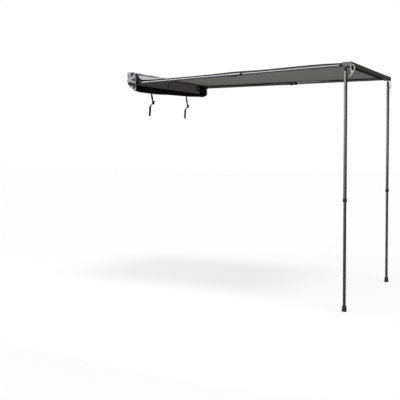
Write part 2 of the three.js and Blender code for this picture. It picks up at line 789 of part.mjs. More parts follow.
function addLeg(side, x, y) {
  const frame = frameAt(x, y, legPivotZ);
  const ground = legPivotZ - groundZ;
  const lockStart = legPivotZ - legLockZ;
  const upperEnd = lockStart + collarHeadLength - collarStep - clearance;
  const lowerStart = upperEnd - legOverlap;
  const upperPipe = pipeProfile(legRadius, legRadius - legWall, legTubeTop, upperEnd);
  const lowerEnd = ground - footSole - clearance;
  const lowerPipe = pipeProfile(legInnerRadius, legInnerRadius - legInnerWall, lowerStart, lowerEnd);
  const bush = guideBush(legRadius - legWall, legInnerRadius, legInnerWall).rotateX(quarterTurn);
  addPart(frame, `${side}_leg_pin`, legPin(), zinc);
  addPart(frame, `${side}_leg_fork`, legFork(), blackPlastic);
  addPart(frame, `${side}_leg_upper_tube`, turnedDown(upperPipe), silver);
  addPart(frame, `${side}_leg_lock_sleeve`, legLockSleeve(lockStart), blackPlastic);
  addPart(frame, `${side}_leg_lock_nut`, legLockNut(lockStart), blackPlastic);
  addPart(frame, `${side}_leg_guide_bush`, bush.translate(0, 0, -lowerStart + clearance), blackPlastic);
  addPart(frame, `${side}_leg_lower_tube`, turnedDown(lowerPipe), silver);
  addPart(frame, `${side}_leg_foot`, legFoot(ground), blackPlastic);
}

// Canopy: one sheet from the rail's channel to the beam's, drooping on to the near arm beside the rail
const canopyOverhang = 10;
const canopyHalf = pivotX + canopyOverhang;
const canopyAcross = 20;
const canopyMiddleRows = 16;
const canopyColumnSpread = 1.4;
const railEdgeRows = [1, 9, 17, 42, 85, 140];
const beamEdgeRows = [1, 9, 17, 60];
const canopySag = 14;
const canopyLift = 4;
const canopyLiftReach = 16;
const farCrown = 6;
const nearHemLift = 13;
const cornerDropPower = 2.2;
const nearLockLift = 8;
const nearLockReach = 90;
const cornerDropReach = 240;
const droopNarrow = 150;
const droopWide = 350;
const droopWiden = 450;
const wrinkleHeight = 4;
const wrinklePitch = 46;
const wrinkleReach = 320;

function nearHemZ(y) {
  const lean = armLean(nearHingeZ, nearTipZ);
  const arm = nearHingeZ + (-y - hingeReach) * Math.tan(lean);
  const lockY = -hingeReach - armLockStart - lockBodyLength / 2;
  const overLock = nearLockLift * Math.exp(-(((y - lockY) / nearLockReach) ** 2));
  const rise = railBeadZ - nearHingeZ - nearHemLift;
  const fall = Math.max(0, 1 - (-y - railDepth) / cornerDropReach);
  return arm + nearHemLift + overLock + rise * fall ** cornerDropPower;
}

// Places of the cloth's rows from the beam to the rail, close together beside each channel.
function canopyRows() {
  const front = beamEdgeRows.map((distance) => beamInnerY + distance);
  const rear = railEdgeRows.map((distance) => -railDepth - distance).reverse();
  const start = front[front.length - 1];
  const step = (rear[0] - start) / (canopyMiddleRows + 1);
  const middle = Array.from({ length: canopyMiddleRows }, (_, i) => start + (i + 1) * step);
  return [beamBeadY, ...front, ...middle, ...rear, railBeadY];
}

function canopyPoint(a, y) {
  const x = -canopyHalf + a ** canopyColumnSpread * 2 * canopyHalf;
  const free = smooth((-y - railDepth) / canopyLiftReach) * smooth((y - beamInnerY) / canopyLiftReach);
  const out = Math.min(1, Math.max(0, (-y - railDepth) / (-beamInnerY - railDepth)));
  const seam = railBeadZ + out * (beamBeadZ - railBeadZ);
  const bow = 4 * out * (1 - out);
  const flat = seam + canopyLift * (1 - out) + farCrown * bow * a - canopySag * bow * Math.sin(Math.PI * a);
  const widen = smooth((-y - railDepth) / droopWiden);
  const fade = Math.exp(-(x + canopyHalf) / (droopNarrow + droopWide * widen));
  const droop = (flat - nearHemZ(y)) * fade;
  const corner = Math.exp(-Math.hypot(x + canopyHalf, y + railDepth + wrinklePitch) / wrinkleReach);
  const wave = wrinkleHeight * Math.sin((x + canopyHalf - y) / wrinklePitch * Math.PI) * corner * (1 - fade);
  const z = seam + free * (flat - droop + wave - seam);
  return new THREE.Vector3(x, y, z);
}

function canopy() {
  const half = new THREE.Vector3(0, 0, clothThickness / 2);
  const rows = canopyRows();
  const last = rows.length - 1;
  const cloth = closedSheet(canopyAcross, last, (a, b) => canopyPoint(a, rows[Math.round(b * last)]), half);
  const rear = rodX(beadRadius, -canopyHalf, canopyHalf, thinSides).translate(0, railBeadY, railBeadZ);
  const front = rodX(beadRadius, -canopyHalf, canopyHalf, thinSides).translate(0, beamBeadY, beamBeadZ);
  return joined(cloth, rear, front);
}

// Bag: the lower flap hangs from the rail, the top flap lies folded behind it
const flapNearDrop = 62;
const flapFarDrop = 31;
const flapNearEnd = -749;
const flapFarEnd = 580;
const flapCornerShare = 0.02;
const flapEndShare = 0.8;
const flapColumns = 40;
const flapRows = 4;
const flapWave = 3;
const flapWavePitch = 170;

function flapDrop(x) {
  const along = (x - flapNearEnd) / (flapFarEnd - flapNearEnd);
  return flapNearDrop + along * (flapFarDrop - flapNearDrop);
}

// How far the flap stands out at a place, used for what is sewn to it as well.
function flapY(x, z) {
  const low = Math.min(1, Math.max(0, (-railLow - z) / flapDrop(x)));
  return -railDepth + bagChannelInset - low * flapWave * (1 + Math.sin(x / flapWavePitch * Math.PI));
}

function lowerFlap() {
  const half = new THREE.Vector3(0, -bagClothThickness / 2, 0);
  const width = flapFarEnd - flapNearEnd;
  const middle = (a, b) => {
    const end = Math.min(a, 1 - a) / flapCornerShare;
    const round = end < 1 ? Math.sqrt(1 - (1 - end) ** 2) : 1;
    const x = flapNearEnd + a * width;
    const top = -railLow + beadMouth / 2;
    const low = -railLow - flapDrop(x) * (flapEndShare + (1 - flapEndShare) * round);
    const z = low + b * (top - low);
    return new THREE.Vector3(x, flapY(x, z), z);
  };
  return closedSheet(flapColumns, flapRows, middle, half);
}

const farEndWidth = 174;
const farEndTop = 52;
const farEndNotch = 16;
const farEndNotchGap = 4;
const farEndDrop = 31;
const farEndRear = 6;
const farEndCornerWidth = 168;
const farEndCornerHeight = 76;

// The bag's far end: a front panel with a long round lower corner, cut low under the clevis, and
// the wall that wraps the rail's end.
function bagFarEnd() {
  const wallInner = extrusionHalf + clearance + railCapThickness + clearance;
  const wallOuter = wallInner + bagClothThickness;
  const front = -railDepth - railLip - clearance;
  const low = -railLow - farEndDrop;
  const panel = new THREE.Shape();
  panel.moveTo(wallOuter - farEndWidth, farEndTop);
  panel.lineTo(wallOuter - farEndWidth, low);
  panel.lineTo(wallOuter - farEndCornerWidth, low);
  const [x, z] = [wallOuter - farEndCornerWidth, low + farEndCornerHeight];
  panel.absellipse(x, z, farEndCornerWidth, farEndCornerHeight, threeQuarterTurn, fullTurn, false);
  const notchStart = pivotX - clevisPlateHalf - farEndNotchGap;
  panel.lineTo(wallOuter, farEndNotch);
  panel.lineTo(notchStart, farEndNotch);
  panel.lineTo(notchStart, farEndTop);
  const skin = extrudedY(panel, front - bagClothThickness, front);
  const wall = box(wallInner, wallOuter, front - bagClothThickness / 2, farEndRear, z, farEndTop);
  return joined(skin, wall);
}

const topFlapLow = 46;
const topFlapHigh = 80;
const topFlapRear = 48;
const topFlapInset = 35;
const topFlapLength = 2 * (extrusionHalf - topFlapInset);
const topFlapRipple = 0.09;
const topFlapPitch = 95;
const topFlapEndShare = 0.45;
const topFlapSides = 10;
const topFlapRows = 30;

// Stretches a geometry so that it fills a box exactly.
function fitted(geometry, [fromX, toX], [fromY, toY], [fromZ, toZ]) {
  geometry.computeBoundingBox();
  const { min, max } = geometry.boundingBox;
  geometry.translate(-min.x, -min.y, -min.z);
  const wanted = new THREE.Vector3(toX - fromX, toY - fromY, toZ - fromZ);
  const factor = wanted.divide(max.clone().sub(min));
  geometry.scale(factor.x, factor.y, factor.z);
  return geometry.translate(fromX, fromY, fromZ);
}

function topFlap() {
  const roll = new THREE.CylinderGeometry(1, 1, topFlapLength, topFlapSides, topFlapRows);
  roll.rotateZ(quarterTurn);
  const place = roll.getAttribute('position');
  for (let i = 0; i < place.count; i += 1) {
    const x = place.getX(i);
    const swell = 1 - topFlapRipple * (1 + Math.sin(x / topFlapPitch * Math.PI));
    const closing = smooth((topFlapLength / 2 - Math.abs(x)) / topFlapPitch);
    const taper = topFlapEndShare + (1 - topFlapEndShare) * closing;
    place.setY(i, place.getY(i) * swell * taper);
    place.setZ(i, place.getZ(i) * swell * taper);
  }
  const half = topFlapLength / 2;
  return fitted(roll, [-half, half], [clearance, topFlapRear], [topFlapLow, topFlapHigh]);
}

const nearEndWidth = 34;
const nearEndPress = 8;
const nearEndFront = -44;
const nearEndRear = 34;
const nearEndLow = -112;
const nearEndRearRise = 78;
const nearEndHigh = 74;
const nearEndCrumpleShare = 0.14;
const lumpPower = 4;
const lumpFolds = 4;
const lumpColumns = 22;
const lumpRows = 16;

// The bag's near end, crumpled beside the rail: a squared lump with slanted folds, pressed flat
// against the rail's cap, whose lower edge climbs towards the rear.
function bagNearEnd() {
  const inner = -extrusionHalf - railCapThickness - 2 * clearance;
  const lump = new THREE.SphereGeometry(1, lumpColumns, lumpRows);
  const place = lump.getAttribute('position');
  const point = new THREE.Vector3();
  for (let i = 0; i < place.count; i += 1) {
    point.fromBufferAttribute(place, i);
    const powers = point.toArray().map((side) => Math.abs(side) ** lumpPower);
    const size = (powers[0] + powers[1] + powers[2]) ** (1 / lumpPower);
    const fold = Math.sin(lumpFolds * point.y + 2 * point.z) * Math.cos(lumpFolds * point.z - point.x);
    point.multiplyScalar((1 + nearEndCrumpleShare * fold) / size);
    place.setXYZ(i, point.x, point.y, point.z);
  }
  const widths = [inner - nearEndWidth, inner + nearEndPress];
  fitted(lump, widths, [nearEndFront, nearEndRear], [nearEndLow, nearEndHigh]);
  for (let i = 0; i < place.count; i += 1) {
    const rear = (place.getY(i) - nearEndFront) / (nearEndRear - nearEndFront);
    const low = (nearEndHigh - place.getZ(i)) / (nearEndHigh - nearEndLow);
    place.setX(i, Math.min(place.getX(i), inner));
    place.setZ(i, place.getZ(i) + nearEndRearRise * rear * low);
  }
  return lump;
}

// Straps that close the bag, sewn to the flap, each with a buckle
const nearStrapX = -453;
const farStrapX = 275;
const strapTop = -44;
const strapEnd = -312;
const buckleZ = -182;
const buckleWidth = 34;
const buckleHeight = 34;
const buckleHorn = 14;
const buckleThickness = 8;
const buckleSlotHeight = 5;
const buckleSlotInset = 6.5;
const buckleCorner = 5.5;
const buckleSlotWidth = 26;
const strapBend = -84;
const strapKick = 24;
const strapReturn = 44;
const strapReturnReach = 45;
const strapDrift = 14;
const strapRows = 20;
const sewnGap = 0.9;

// Sideways place of a strap at a height: straight down, out to the buckle, then back across.
function strapX(x, z) {
  const toBuckle = smooth((strapBend - z) / (strapBend - buckleZ));
  const turned = smooth((buckleZ - z) / strapReturnReach);
  const toEnd = Math.max(0, (buckleZ - z) / (buckleZ - strapEnd));
  return x + strapKick * toBuckle - strapReturn * turned - strapDrift * toEnd;
}

function strapY(x, z) {
  const sewn = flapY(x, Math.max(z, -railLow - flapDrop(x)));
  return sewn - bagClothThickness / 2 - sewnGap - webThickness / 2;
}

function bagStrap(x) {
  const half = new THREE.Vector3(0, -webThickness / 2, 0);
  const middle = (a, b) => {
    const z = strapEnd + b * (strapTop - strapEnd);
    return new THREE.Vector3(strapX(x, z) + (a - 1 / 2) * webWidth, strapY(x, z), z);
  };
  return closedSheet(2, strapRows, middle, half);
}

function strapBuckle(x) {
  const centre = strapX(x, buckleZ);
  const rear = strapY(x, buckleZ) - webThickness / 2 - clearance;
  const low = buckleZ - buckleHeight / 2;
  const high = buckleZ + buckleHeight / 2;
  const half = buckleWidth / 2;
  const inset = half - buckleCorner;
  const shape = outline([
    [-half, low + buckleCorner], [-inset, low], [inset, low], [half, low + buckleCorner],
    [half, buckleZ], [half + buckleHorn, high - buckleCorner / 2], [half + buckleHorn / 2, high],
    [-inset, high], [-half, high - buckleCorner],
  ]);
  const slotHalf = buckleSlotWidth / 2;
  [low + buckleSlotInset, high - buckleSlotInset - buckleSlotHeight].forEach((z) => {
    const top = z + buckleSlotHeight;
    shape.holes.push(outline([[-slotHalf, z], [-slotHalf, top], [slotHalf, top], [slotHalf, z]]));
  });
  return extrudedY(shape, rear - buckleThickness, rear).translate(centre, 0, 0);
}

// Guy cords
const cordRadius = 2.25;
const loopSteps = 24;
const farCordSteps = 14;
const tailSteps = 5;
const knotRings = 8;
const knotRadius = 7;
const knotStretch = 1.15;
const nearCordRoute = [
  [-758.5, -2039, 50], [-764, -2039, 49.5], [-768, -2039.3, 44], [-768.5, -2039.8, 30], [-768, -2041, 15],
  [-767, -2044, 2], [-765.5, -2049, -5], [-763.5, -2056, -5], [-761, -2063, 2], [-758.5, -2068.5, 14],
  [-756.5, -2067.5, 30], [-755, -2062, 42], [-754.3, -2055.5, 49], [-754.3, -2046.8, 50],
];
const nearKnotPlace = [-765, -2051, -11.8];
const nearTailRoute = [[-765.6, -2051.3, -19.6], [-767, -2046, -27], [-769, -2038, -36], [-771, -2030, -44]];
const farCordRoute = [
  [758.5, -2039, 50], [764, -2039, 49.5], [768.5, -2039.3, 43], [769.5, -2039.5, 26], [769.5, -2040, 10],
  [769, -2040.5, -6],
];

function cord(route, steps, radius = cordRadius) {
  const points = route.map(([x, y, z]) => new THREE.Vector3(x, y, z));
  const section = new THREE.Shape();
  section.absarc(0, 0, radius, 0, fullTurn, false);
  const extrudePath = new THREE.CatmullRomCurve3(points);
  const options = { steps, bevelEnabled: false, extrudePath, curveSegments: thinSides };
  return new THREE.ExtrudeGeometry(section, options);
}

// The knot is hollowed where the cord runs along it.
function cordKnot() {
  const knot = new THREE.SphereGeometry(knotRadius, fewSides, knotRings);
  knot.scale(1, knotStretch, 1 / knotStretch);
  return cut(knot.translate(...nearKnotPlace), cord(nearCordRoute, loopSteps, cordRadius + clearance));
}

// Everything in its place
addPart(awning, 'back_rail', extrudedX(railSection(), -extrusionHalf, extrusionHalf), charcoal);
addPart(awning, 'near_rail_cap', railCap(-1), blackPlastic);
addPart(awning, 'far_rail_cap', railCap(1), blackPlastic);
addPart(awning, 'near_rack_bracket', rackBracket(-rackBracketX), blackSteel);
addPart(awning, 'far_rack_bracket', rackBracket(rackBracketX), blackSteel);
addPart(awning, 'near_upper_rack_bolt', rackBolt(-rackBracketX, upperSlotZ), zinc);
addPart(awning, 'near_lower_rack_bolt', rackBolt(-rackBracketX, lowerSlotZ), zinc);
addPart(awning, 'far_upper_rack_bolt', rackBolt(rackBracketX, upperSlotZ), zinc);
addPart(awning, 'far_lower_rack_bolt', rackBolt(rackBracketX, lowerSlotZ), zinc);
addArm('near', -pivotX, nearHingeZ, nearTipZ, nearClevisTop, nearClevisDrop);
addArm('far', pivotX, farHingeZ, farTipZ, farClevisTop, farClevisDrop);
addPart(awning, 'front_beam', extrudedX(beamSection(), -extrusionHalf, extrusionHalf), charcoal);
addPart(awning, 'near_corner_cap', cornerCap(-1, -beamReach + legStagger), greyPlastic);
addPart(awning, 'far_corner_cap', cornerCap(1, -beamReach - legStagger), greyPlastic);
addLeg('near', -pivotX, -beamReach + legStagger);
addLeg('far', pivotX, -beamReach - legStagger);
addPart(awning, 'canopy', canopy(), canopyCloth);
addPart(awning, 'bag_lower_flap', lowerFlap(), bagCloth);
addPart(awning, 'bag_far_end', bagFarEnd(), bagCloth);
addPart(awning, 'bag_top_flap', topFlap(), bagCloth);
addPart(awning, 'bag_near_end', bagNearEnd(), bagCloth);
addPart(awning, 'near_bag_strap', bagStrap(nearStrapX), webbing);
addPart(awning, 'far_bag_strap', bagStrap(farStrapX), webbing);
addPart(awning, 'near_strap_buckle', strapBuckle(nearStrapX), blackPlastic);
addPart(awning, 'far_strap_buckle', strapBuckle(farStrapX), blackPlastic);
addPart(awning, 'near_guy_cord', cord(nearCordRoute, loopSteps), creamCord);
addPart(awning, 'near_guy_knot', cordKnot(), creamCord);
addPart(awning, 'near_guy_tail', cord(nearTailRoute, tailSteps), creamCord);
addPart(awning, 'far_guy_cord', cord(farCordRoute, farCordSteps), greyCord);

export default awning;
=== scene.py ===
# %% [markdown]
# # A vehicle side awning, opened out
#
# The awning hangs on a roof rack: a rail carries a soft bag, a cloth and two arms, and a beam on two legs
# stretches the cloth. The hard parts come from a CAD model and are in the scene already. This lesson gives
# them their finishes and makes all that is sewn or tied. X runs along the rail, -Y points away from the
# vehicle and +Z is up. All sizes are in metres.

import json
import math

import bmesh
import bpy
from mathutils import Matrix, Vector, noise


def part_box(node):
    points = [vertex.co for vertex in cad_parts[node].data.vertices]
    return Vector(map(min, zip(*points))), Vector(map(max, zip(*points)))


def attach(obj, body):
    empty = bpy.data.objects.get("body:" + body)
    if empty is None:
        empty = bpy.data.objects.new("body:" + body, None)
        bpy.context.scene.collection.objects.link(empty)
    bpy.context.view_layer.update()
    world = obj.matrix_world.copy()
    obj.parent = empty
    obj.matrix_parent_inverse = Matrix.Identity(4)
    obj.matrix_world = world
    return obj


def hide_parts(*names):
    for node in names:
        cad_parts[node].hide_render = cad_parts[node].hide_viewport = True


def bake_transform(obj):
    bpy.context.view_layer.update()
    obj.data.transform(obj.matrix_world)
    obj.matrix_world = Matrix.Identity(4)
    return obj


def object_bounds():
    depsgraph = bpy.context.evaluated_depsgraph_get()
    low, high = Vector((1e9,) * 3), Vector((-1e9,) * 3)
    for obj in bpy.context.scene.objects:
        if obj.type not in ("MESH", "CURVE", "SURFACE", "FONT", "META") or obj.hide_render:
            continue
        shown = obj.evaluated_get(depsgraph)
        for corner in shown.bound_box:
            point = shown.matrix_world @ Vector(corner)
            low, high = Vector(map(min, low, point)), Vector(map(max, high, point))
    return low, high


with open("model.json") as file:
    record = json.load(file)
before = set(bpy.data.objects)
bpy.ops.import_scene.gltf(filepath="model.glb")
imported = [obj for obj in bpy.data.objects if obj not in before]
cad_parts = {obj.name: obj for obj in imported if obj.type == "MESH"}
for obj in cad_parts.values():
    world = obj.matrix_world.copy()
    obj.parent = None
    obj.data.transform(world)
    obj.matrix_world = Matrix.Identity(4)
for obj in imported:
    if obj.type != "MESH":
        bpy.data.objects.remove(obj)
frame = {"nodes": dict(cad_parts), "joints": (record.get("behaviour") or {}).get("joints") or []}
cad_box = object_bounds()
nodes = frame["nodes"]
joints = {joint["name"]: joint for joint in frame["joints"]}
rail_low, rail_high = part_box("back_rail")
beam_low, beam_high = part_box("front_beam")
ground = cad_box[0].z
print(len(nodes), "hard parts; the ground is at", round(ground, 3))

# %% [markdown]
# ## The camera
#
# The camera's place, angles and focal length were found by fitting the rail, the beam and the two legs to
# a photograph. The lens is given in pixels of a 400 pixel frame. The picture was cropped after it was
# taken, so the lens is also shifted.

# %% Match the camera
PHOTO_PIXELS = 400
SENSOR = 36.0
LENS_PIXELS = 727.4
LENS_SHIFT = (-0.81 / PHOTO_PIXELS, -28.3 / PHOTO_PIXELS)
EYE = Vector((-6.5115, -3.534, -0.592))
YAW, PITCH, ROLL = 0.4570, 0.0362, -0.0009


def add_object(name, data):
    made = bpy.data.objects.new(name, data)
    bpy.context.scene.collection.objects.link(made)
    return made


level = math.cos(PITCH)
forward = Vector((math.cos(YAW) * level, math.sin(YAW) * level, -math.sin(PITCH)))
leftward = Vector((-math.sin(YAW), math.cos(YAW), 0))
camera = add_object("camera", bpy.data.cameras.new("camera"))
camera.data.sensor_width = SENSOR
camera.data.lens = LENS_PIXELS / PHOTO_PIXELS * SENSOR
camera.data.shift_x, camera.data.shift_y = LENS_SHIFT
turn = forward.to_track_quat("-Z", "Y").to_matrix() @ Matrix.Rotation(ROLL, 3, "Z")
camera.matrix_world = Matrix.Translation(EYE) @ turn.to_4x4()
bpy.context.scene.camera = camera
print("camera lens", round(camera.data.lens, 1), "mm")

# %% [markdown]
# ## Helpers for sewn pieces
#
# Cloth is a grid whose points are moved to where the cloth hangs. One helper calls a function for each
# point, so a piece only says where its points go. The UV map keeps the size of the flat cut, so a weave
# has the same threads everywhere.

# %% Make grids and paths
def clamp(value, low=0.0, high=1.0):
    return min(high, max(low, value))


def smooth_step(value):
    """0 before 0, 1 after 1, and an even curve between them."""
    t = clamp(value)
    return t * t * (3 - 2 * t)


def window(at, low, high, rise, fall=None):
    """1 from low to high and 0 outside, with an even curve at both ends."""
    return smooth_step((at - low) / rise) * smooth_step((high - at) / (fall or rise))


def between(first, last, share):
    return first + (last - first) * share


def along(stops, at, ease=clamp):
    """The value at a place, with an eased step from each of the stops (place, value) to the next."""
    for (start, first), (end, last) in zip(stops, stops[1:]):
        if at <= end:
            return between(first, last, ease((at - start) / (end - start)))
    return stops[-1][1]


def warped_grid(size, place, cut=(1.0, 1.0)):
    """A grid of columns and rows whose points are moved to place(u, v), with u and v from 0 to 1."""
    work = bmesh.new()
    bmesh.ops.create_grid(work, x_segments=size[0], y_segments=size[1], size=0.5)
    share = {vertex: (vertex.co.x + 0.5, vertex.co.y + 0.5) for vertex in work.verts}
    sewn = work.loops.layers.uv.new("cut")
    for face in work.faces:
        for loop in face.loops:
            u, v = share[loop.vert]
            loop[sewn].uv = (u * cut[0], v * cut[1])
    for vertex, (u, v) in share.items():
        vertex.co = place(u, v)
    return work


def spaced_path(points, step):
    """A smooth line through the points, with a point at about every step of its length."""
    points = [Vector(point) for point in points]
    ends = [2 * points[0] - points[1], *points, 2 * points[-1] - points[-2]]
    fine = []
    for before, start, end, after in zip(ends, ends[1:], ends[2:], ends[3:]):
        count = max(1, round((end - start).length / step))
        for i in range(count):
            t = i / count
            fine.append(
                start + (end - before) * t / 2
                + (before * 2 - start * 5 + end * 4 - after) * t * t / 2
                + (start * 3 - before - end * 3 + after) * t**3 / 2
            )
    return [*fine, points[-1]]


def path_frames(path):
    """A matrix for each point, with Z along the path and no twist from one to the next."""
    frames = []
    side = (path[1] - path[0]).orthogonal().normalized()
    for i, point in enumerate(path):
        along = (path[min(i + 1, len(path) - 1)] - path[max(i - 1, 0)]).normalized()
        side = (side - along * side.dot(along)).normalized()
        turned = Matrix((side, along.cross(side), along)).transposed()
        frames.append(Matrix.Translation(point) @ turned.to_4x4())
    return frames


# %% Make tubes and pieces
def ring_edges(ring):
    """The edges between a ring's points, each once and always in the same order."""
    touching = dict.fromkeys(edge for vertex in ring for edge in vertex.link_edges)
    return [edge for edge in touching if all(vertex in ring for vertex in edge.verts)]


def add_tube(work, path, radius, sides, swell=None):
    """A tube: a ring extruded from point to point. swell(length, angle) changes its radius."""
    frames = path_frames(path)
    ring = bmesh.ops.create_circle(work, segments=sides, radius=radius, cap_ends=False)["verts"]
    bmesh.ops.transform(work, matrix=frames[0], verts=ring)
    rings = [ring]
    edges = ring_edges(ring)
    for before, after in zip(frames, frames[1:]):
        grown = bmesh.ops.extrude_edge_only(work, edges=edges)["geom"]
        ring = [part for part in grown if isinstance(part, bmesh.types.BMVert)]
        edges = [part for part in grown if isinstance(part, bmesh.types.BMEdge)]
        edges = [edge for edge in edges if all(vertex in ring for vertex in edge.verts)]
        bmesh.ops.transform(work, matrix=after @ before.inverted(), verts=ring)
        rings.append(ring)
    for end in (0, -1):
        middle = work.verts.new(frames[end].translation)
        for edge in ring_edges(rings[end]):
            work.faces.new((*edge.verts, middle))
    if swell:
        length = 0.0
        for i, chosen in enumerate(rings):
            length += (path[i] - path[i - 1]).length if i else 0.0
            back = frames[i].inverted()
            for vertex in chosen:
                local = back @ vertex.co
                angle = math.atan2(local.y, local.x)
                vertex.co = path[i] + (vertex.co - path[i]) * swell(length, angle)


def make_piece(name, work, finish, slot, body=None, modifiers=()):
    """Turns a bmesh into a finished piece that rides on a body."""
    mesh = bpy.data.meshes.new(name)
    work.to_mesh(mesh)
    work.free()
    mesh.polygons.foreach_set("use_smooth", [True] * len(mesh.polygons))
    mesh.materials.append(finish)
    piece = add_object(name, mesh)
    for kind, settings in modifiers:
        modifier = piece.modifiers.new(kind.title(), kind)
        for key, value in settings.items():
            setattr(modifier, key, value)
    if body:
        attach(piece, body)
    print(name, len(mesh.polygons), "faces")
    return piece


def make_tube(name, path, radius, sides, finish, slot, body=None, swell=None):
    work = bmesh.new()
    add_tube(work, path, radius, sides, swell)
    bmesh.ops.recalc_face_normals(work, faces=work.faces)
    return make_piece(name, work, finish, slot, body)


def make_sheet(name, size, place, cut, finish, slot, body=None, modifiers=(), turned=False):
    work = warped_grid(size, place, cut)
    if turned:
        bmesh.ops.reverse_faces(work, faces=work.faces)
    return make_piece(name, work, finish, slot, body, modifiers)


def shell(thickness, **more):
    """The modifier that gives a sheet its thickness."""
    return ("SOLIDIFY", {"thickness": thickness, "offset": 0.0, **more})


# %% [markdown]
# ## Helpers for finishes
#
# Every finish is a network of shader nodes, so it has no image and stays sharp from close by. Effects that
# several finishes share are node groups: grain, wear along edges, a weave, creases and dust. A group gives
# out only masks and heights, and the shader stays in the material.

# %% Add shader nodes
NODE_SPACING = 180


class Net:
    """A tree of shader nodes. Its methods add a node, feed it and give back its output."""

    def __init__(self, tree, place=None):
        self.tree, self.place = tree, place

    def feed(self, socket, value):
        """Feeds an input with the output of another node or with a plain value."""
        if isinstance(value, bpy.types.NodeSocket):
            self.tree.links.new(value, socket)
        else:
            socket.default_value = value

    def add(self, kind, feeds=None, **settings):
        made = self.tree.nodes.new(kind)
        made.location.x = NODE_SPACING * len(self.tree.nodes)
        for key, value in settings.items():
            setattr(made, key, value)
        for key, value in (feeds or {}).items():
            self.feed(made.inputs[key], value)
        return made

    def effect(self, group, **feeds):
        """Adds one of the shared effects, which starts from the net's place."""
        feeds = {"Place": self.place, **{key.replace("_", " "): value for key, value in feeds.items()}}
        return self.add("ShaderNodeGroup", feeds, node_tree=group).outputs

    def math(self, operation, first, second=0.5, clamped=False):
        settings = {"operation": operation, "use_clamp": clamped}
        return self.add("ShaderNodeMath", {0: first, 1: second}, **settings).outputs[0]

    def multiply(self, first, second, clamped=False):
        return self.math("MULTIPLY", first, second, clamped)

    def mix(self, share, first, second):
        """A colour between two colours."""
        made = self.add("ShaderNodeMix", data_type="RGBA")
        for key, value in {"Factor": share, "A": first, "B": second}.items():
            self.feed(next(s for s in made.inputs if s.name == key and s.enabled), value)
        return next(s for s in made.outputs if s.enabled)

    def remap(self, value, low, high, to_low=0.0, to_high=1.0, smooth=False):
        feeds = {"Value": value, "From Min": low, "From Max": high, "To Min": to_low, "To Max": to_high}
        style = "SMOOTHSTEP" if smooth else "LINEAR"
        return self.add("ShaderNodeMapRange", feeds, interpolation_type=style).outputs["Result"]

    def noise(self, scale, detail=2.0, roughness=0.5, place=None):
        feeds = {"Vector": place or self.place, "Scale": scale, "Detail": detail, "Roughness": roughness}
        return self.add("ShaderNodeTexNoise", feeds).outputs["Fac"]

    def vector(self, operation, feeds, output="Vector"):
        return self.add("ShaderNodeVectorMath", feeds, operation=operation).outputs[output]

    def split(self, vector):
        return self.add("ShaderNodeSeparateXYZ", {"Vector": vector}).outputs


# %% Build the shared effects
def start_effect(name, numbers, outputs):
    """An empty node group: it takes the vector Place and named numbers, and gives out numbers."""
    group = bpy.data.node_groups.new(name, "ShaderNodeTree")
    group.interface.new_socket("Place", in_out="INPUT", socket_type="NodeSocketVector")
    for label, value in numbers.items():
        socket = group.interface.new_socket(label, in_out="INPUT", socket_type="NodeSocketFloat")
        socket.default_value = value
    for label in outputs:
        group.interface.new_socket(label, in_out="OUTPUT", socket_type="NodeSocketFloat")
    given = group.nodes.new("NodeGroupInput").outputs
    return Net(group, given["Place"]), given, group.nodes.new("NodeGroupOutput").inputs


def grain_group():
    """Fine bumps on two scales, for powder coat and moulded plastic."""
    net, given, out = start_effect("grain", {"Scale": 900.0, "Patch Scale": 14.0}, ["Height", "Patches"])
    net.feed(out["Height"], net.noise(given["Scale"], 3.0, 0.6))
    net.feed(out["Patches"], net.remap(net.noise(given["Patch Scale"], 3.0, 0.55), 0.3, 0.7))
    return net.tree


def wear_group():
    """A mask along the edges, broken up by noise, where a coat has rubbed thin."""
    net, given, out = start_effect("edge_wear", {"Width": 0.0012, "Amount": 0.5}, ["Mask"])
    bent = net.add("ShaderNodeBevel", {"Radius": given["Width"]}, samples=4).outputs["Normal"]
    plain = net.add("ShaderNodeNewGeometry").outputs["True Normal"]
    edge = net.remap(net.vector("DOT_PRODUCT", {0: bent, 1: plain}, "Value"), 0.995, 0.86)
    broken = net.remap(net.noise(60.0, 4.0, 0.7), 0.42, 0.62)
    net.feed(out["Mask"], net.multiply(net.multiply(edge, broken), given["Amount"], True))
    return net.tree


def weave_group():
    """Threads that pass over and under each other, with a pitch in metres."""
    net, given, out = start_effect("weave", {"Pitch": 0.0008}, ["Height", "Thread"])
    parts = net.split(net.place)
    turns = [net.multiply(net.math("DIVIDE", parts[axis], given["Pitch"]), math.pi) for axis in "XY"]
    waves = [net.math("SINE", turn) for turn in turns]
    warp, weft = [net.math("ABSOLUTE", wave) for wave in waves]
    top = net.remap(net.multiply(*waves), -0.25, 0.25, smooth=True)
    height = net.add("ShaderNodeMix", {"Factor": top, "A": warp, "B": weft}).outputs[0]
    net.feed(out["Height"], height)
    net.feed(out["Thread"], top)
    return net.tree


def crease_group():
    """Sharp creases between small flat facets, on two scales, as in paper that was crushed."""
    net, given, out = start_effect("crease", {"Scale": 40.0}, ["Height", "Line"])
    bend = net.add("ShaderNodeTexNoise", {"Vector": net.place, "Scale": 22.0}).outputs["Color"]
    small = net.vector("SCALE", {0: bend, "Scale": 0.035})
    bent = net.vector("ADD", {0: net.place, 1: small})
    facets = []
    for factor in (1.0, 2.3):
        feeds = {"Vector": bent, "Scale": net.multiply(given["Scale"], factor)}
        facets.append(net.add("ShaderNodeTexVoronoi", feeds, feature="DISTANCE_TO_EDGE").outputs[0])
    wide, narrow = facets
    net.feed(out["Height"], net.math("ADD", wide, net.multiply(narrow, 0.4)))
    sharp = net.remap(wide, 0.035, 0.0, smooth=True)
    shown = net.remap(net.noise(35.0, 3.0), 0.42, 0.62)
    net.feed(out["Line"], net.multiply(sharp, shown))
    return net.tree


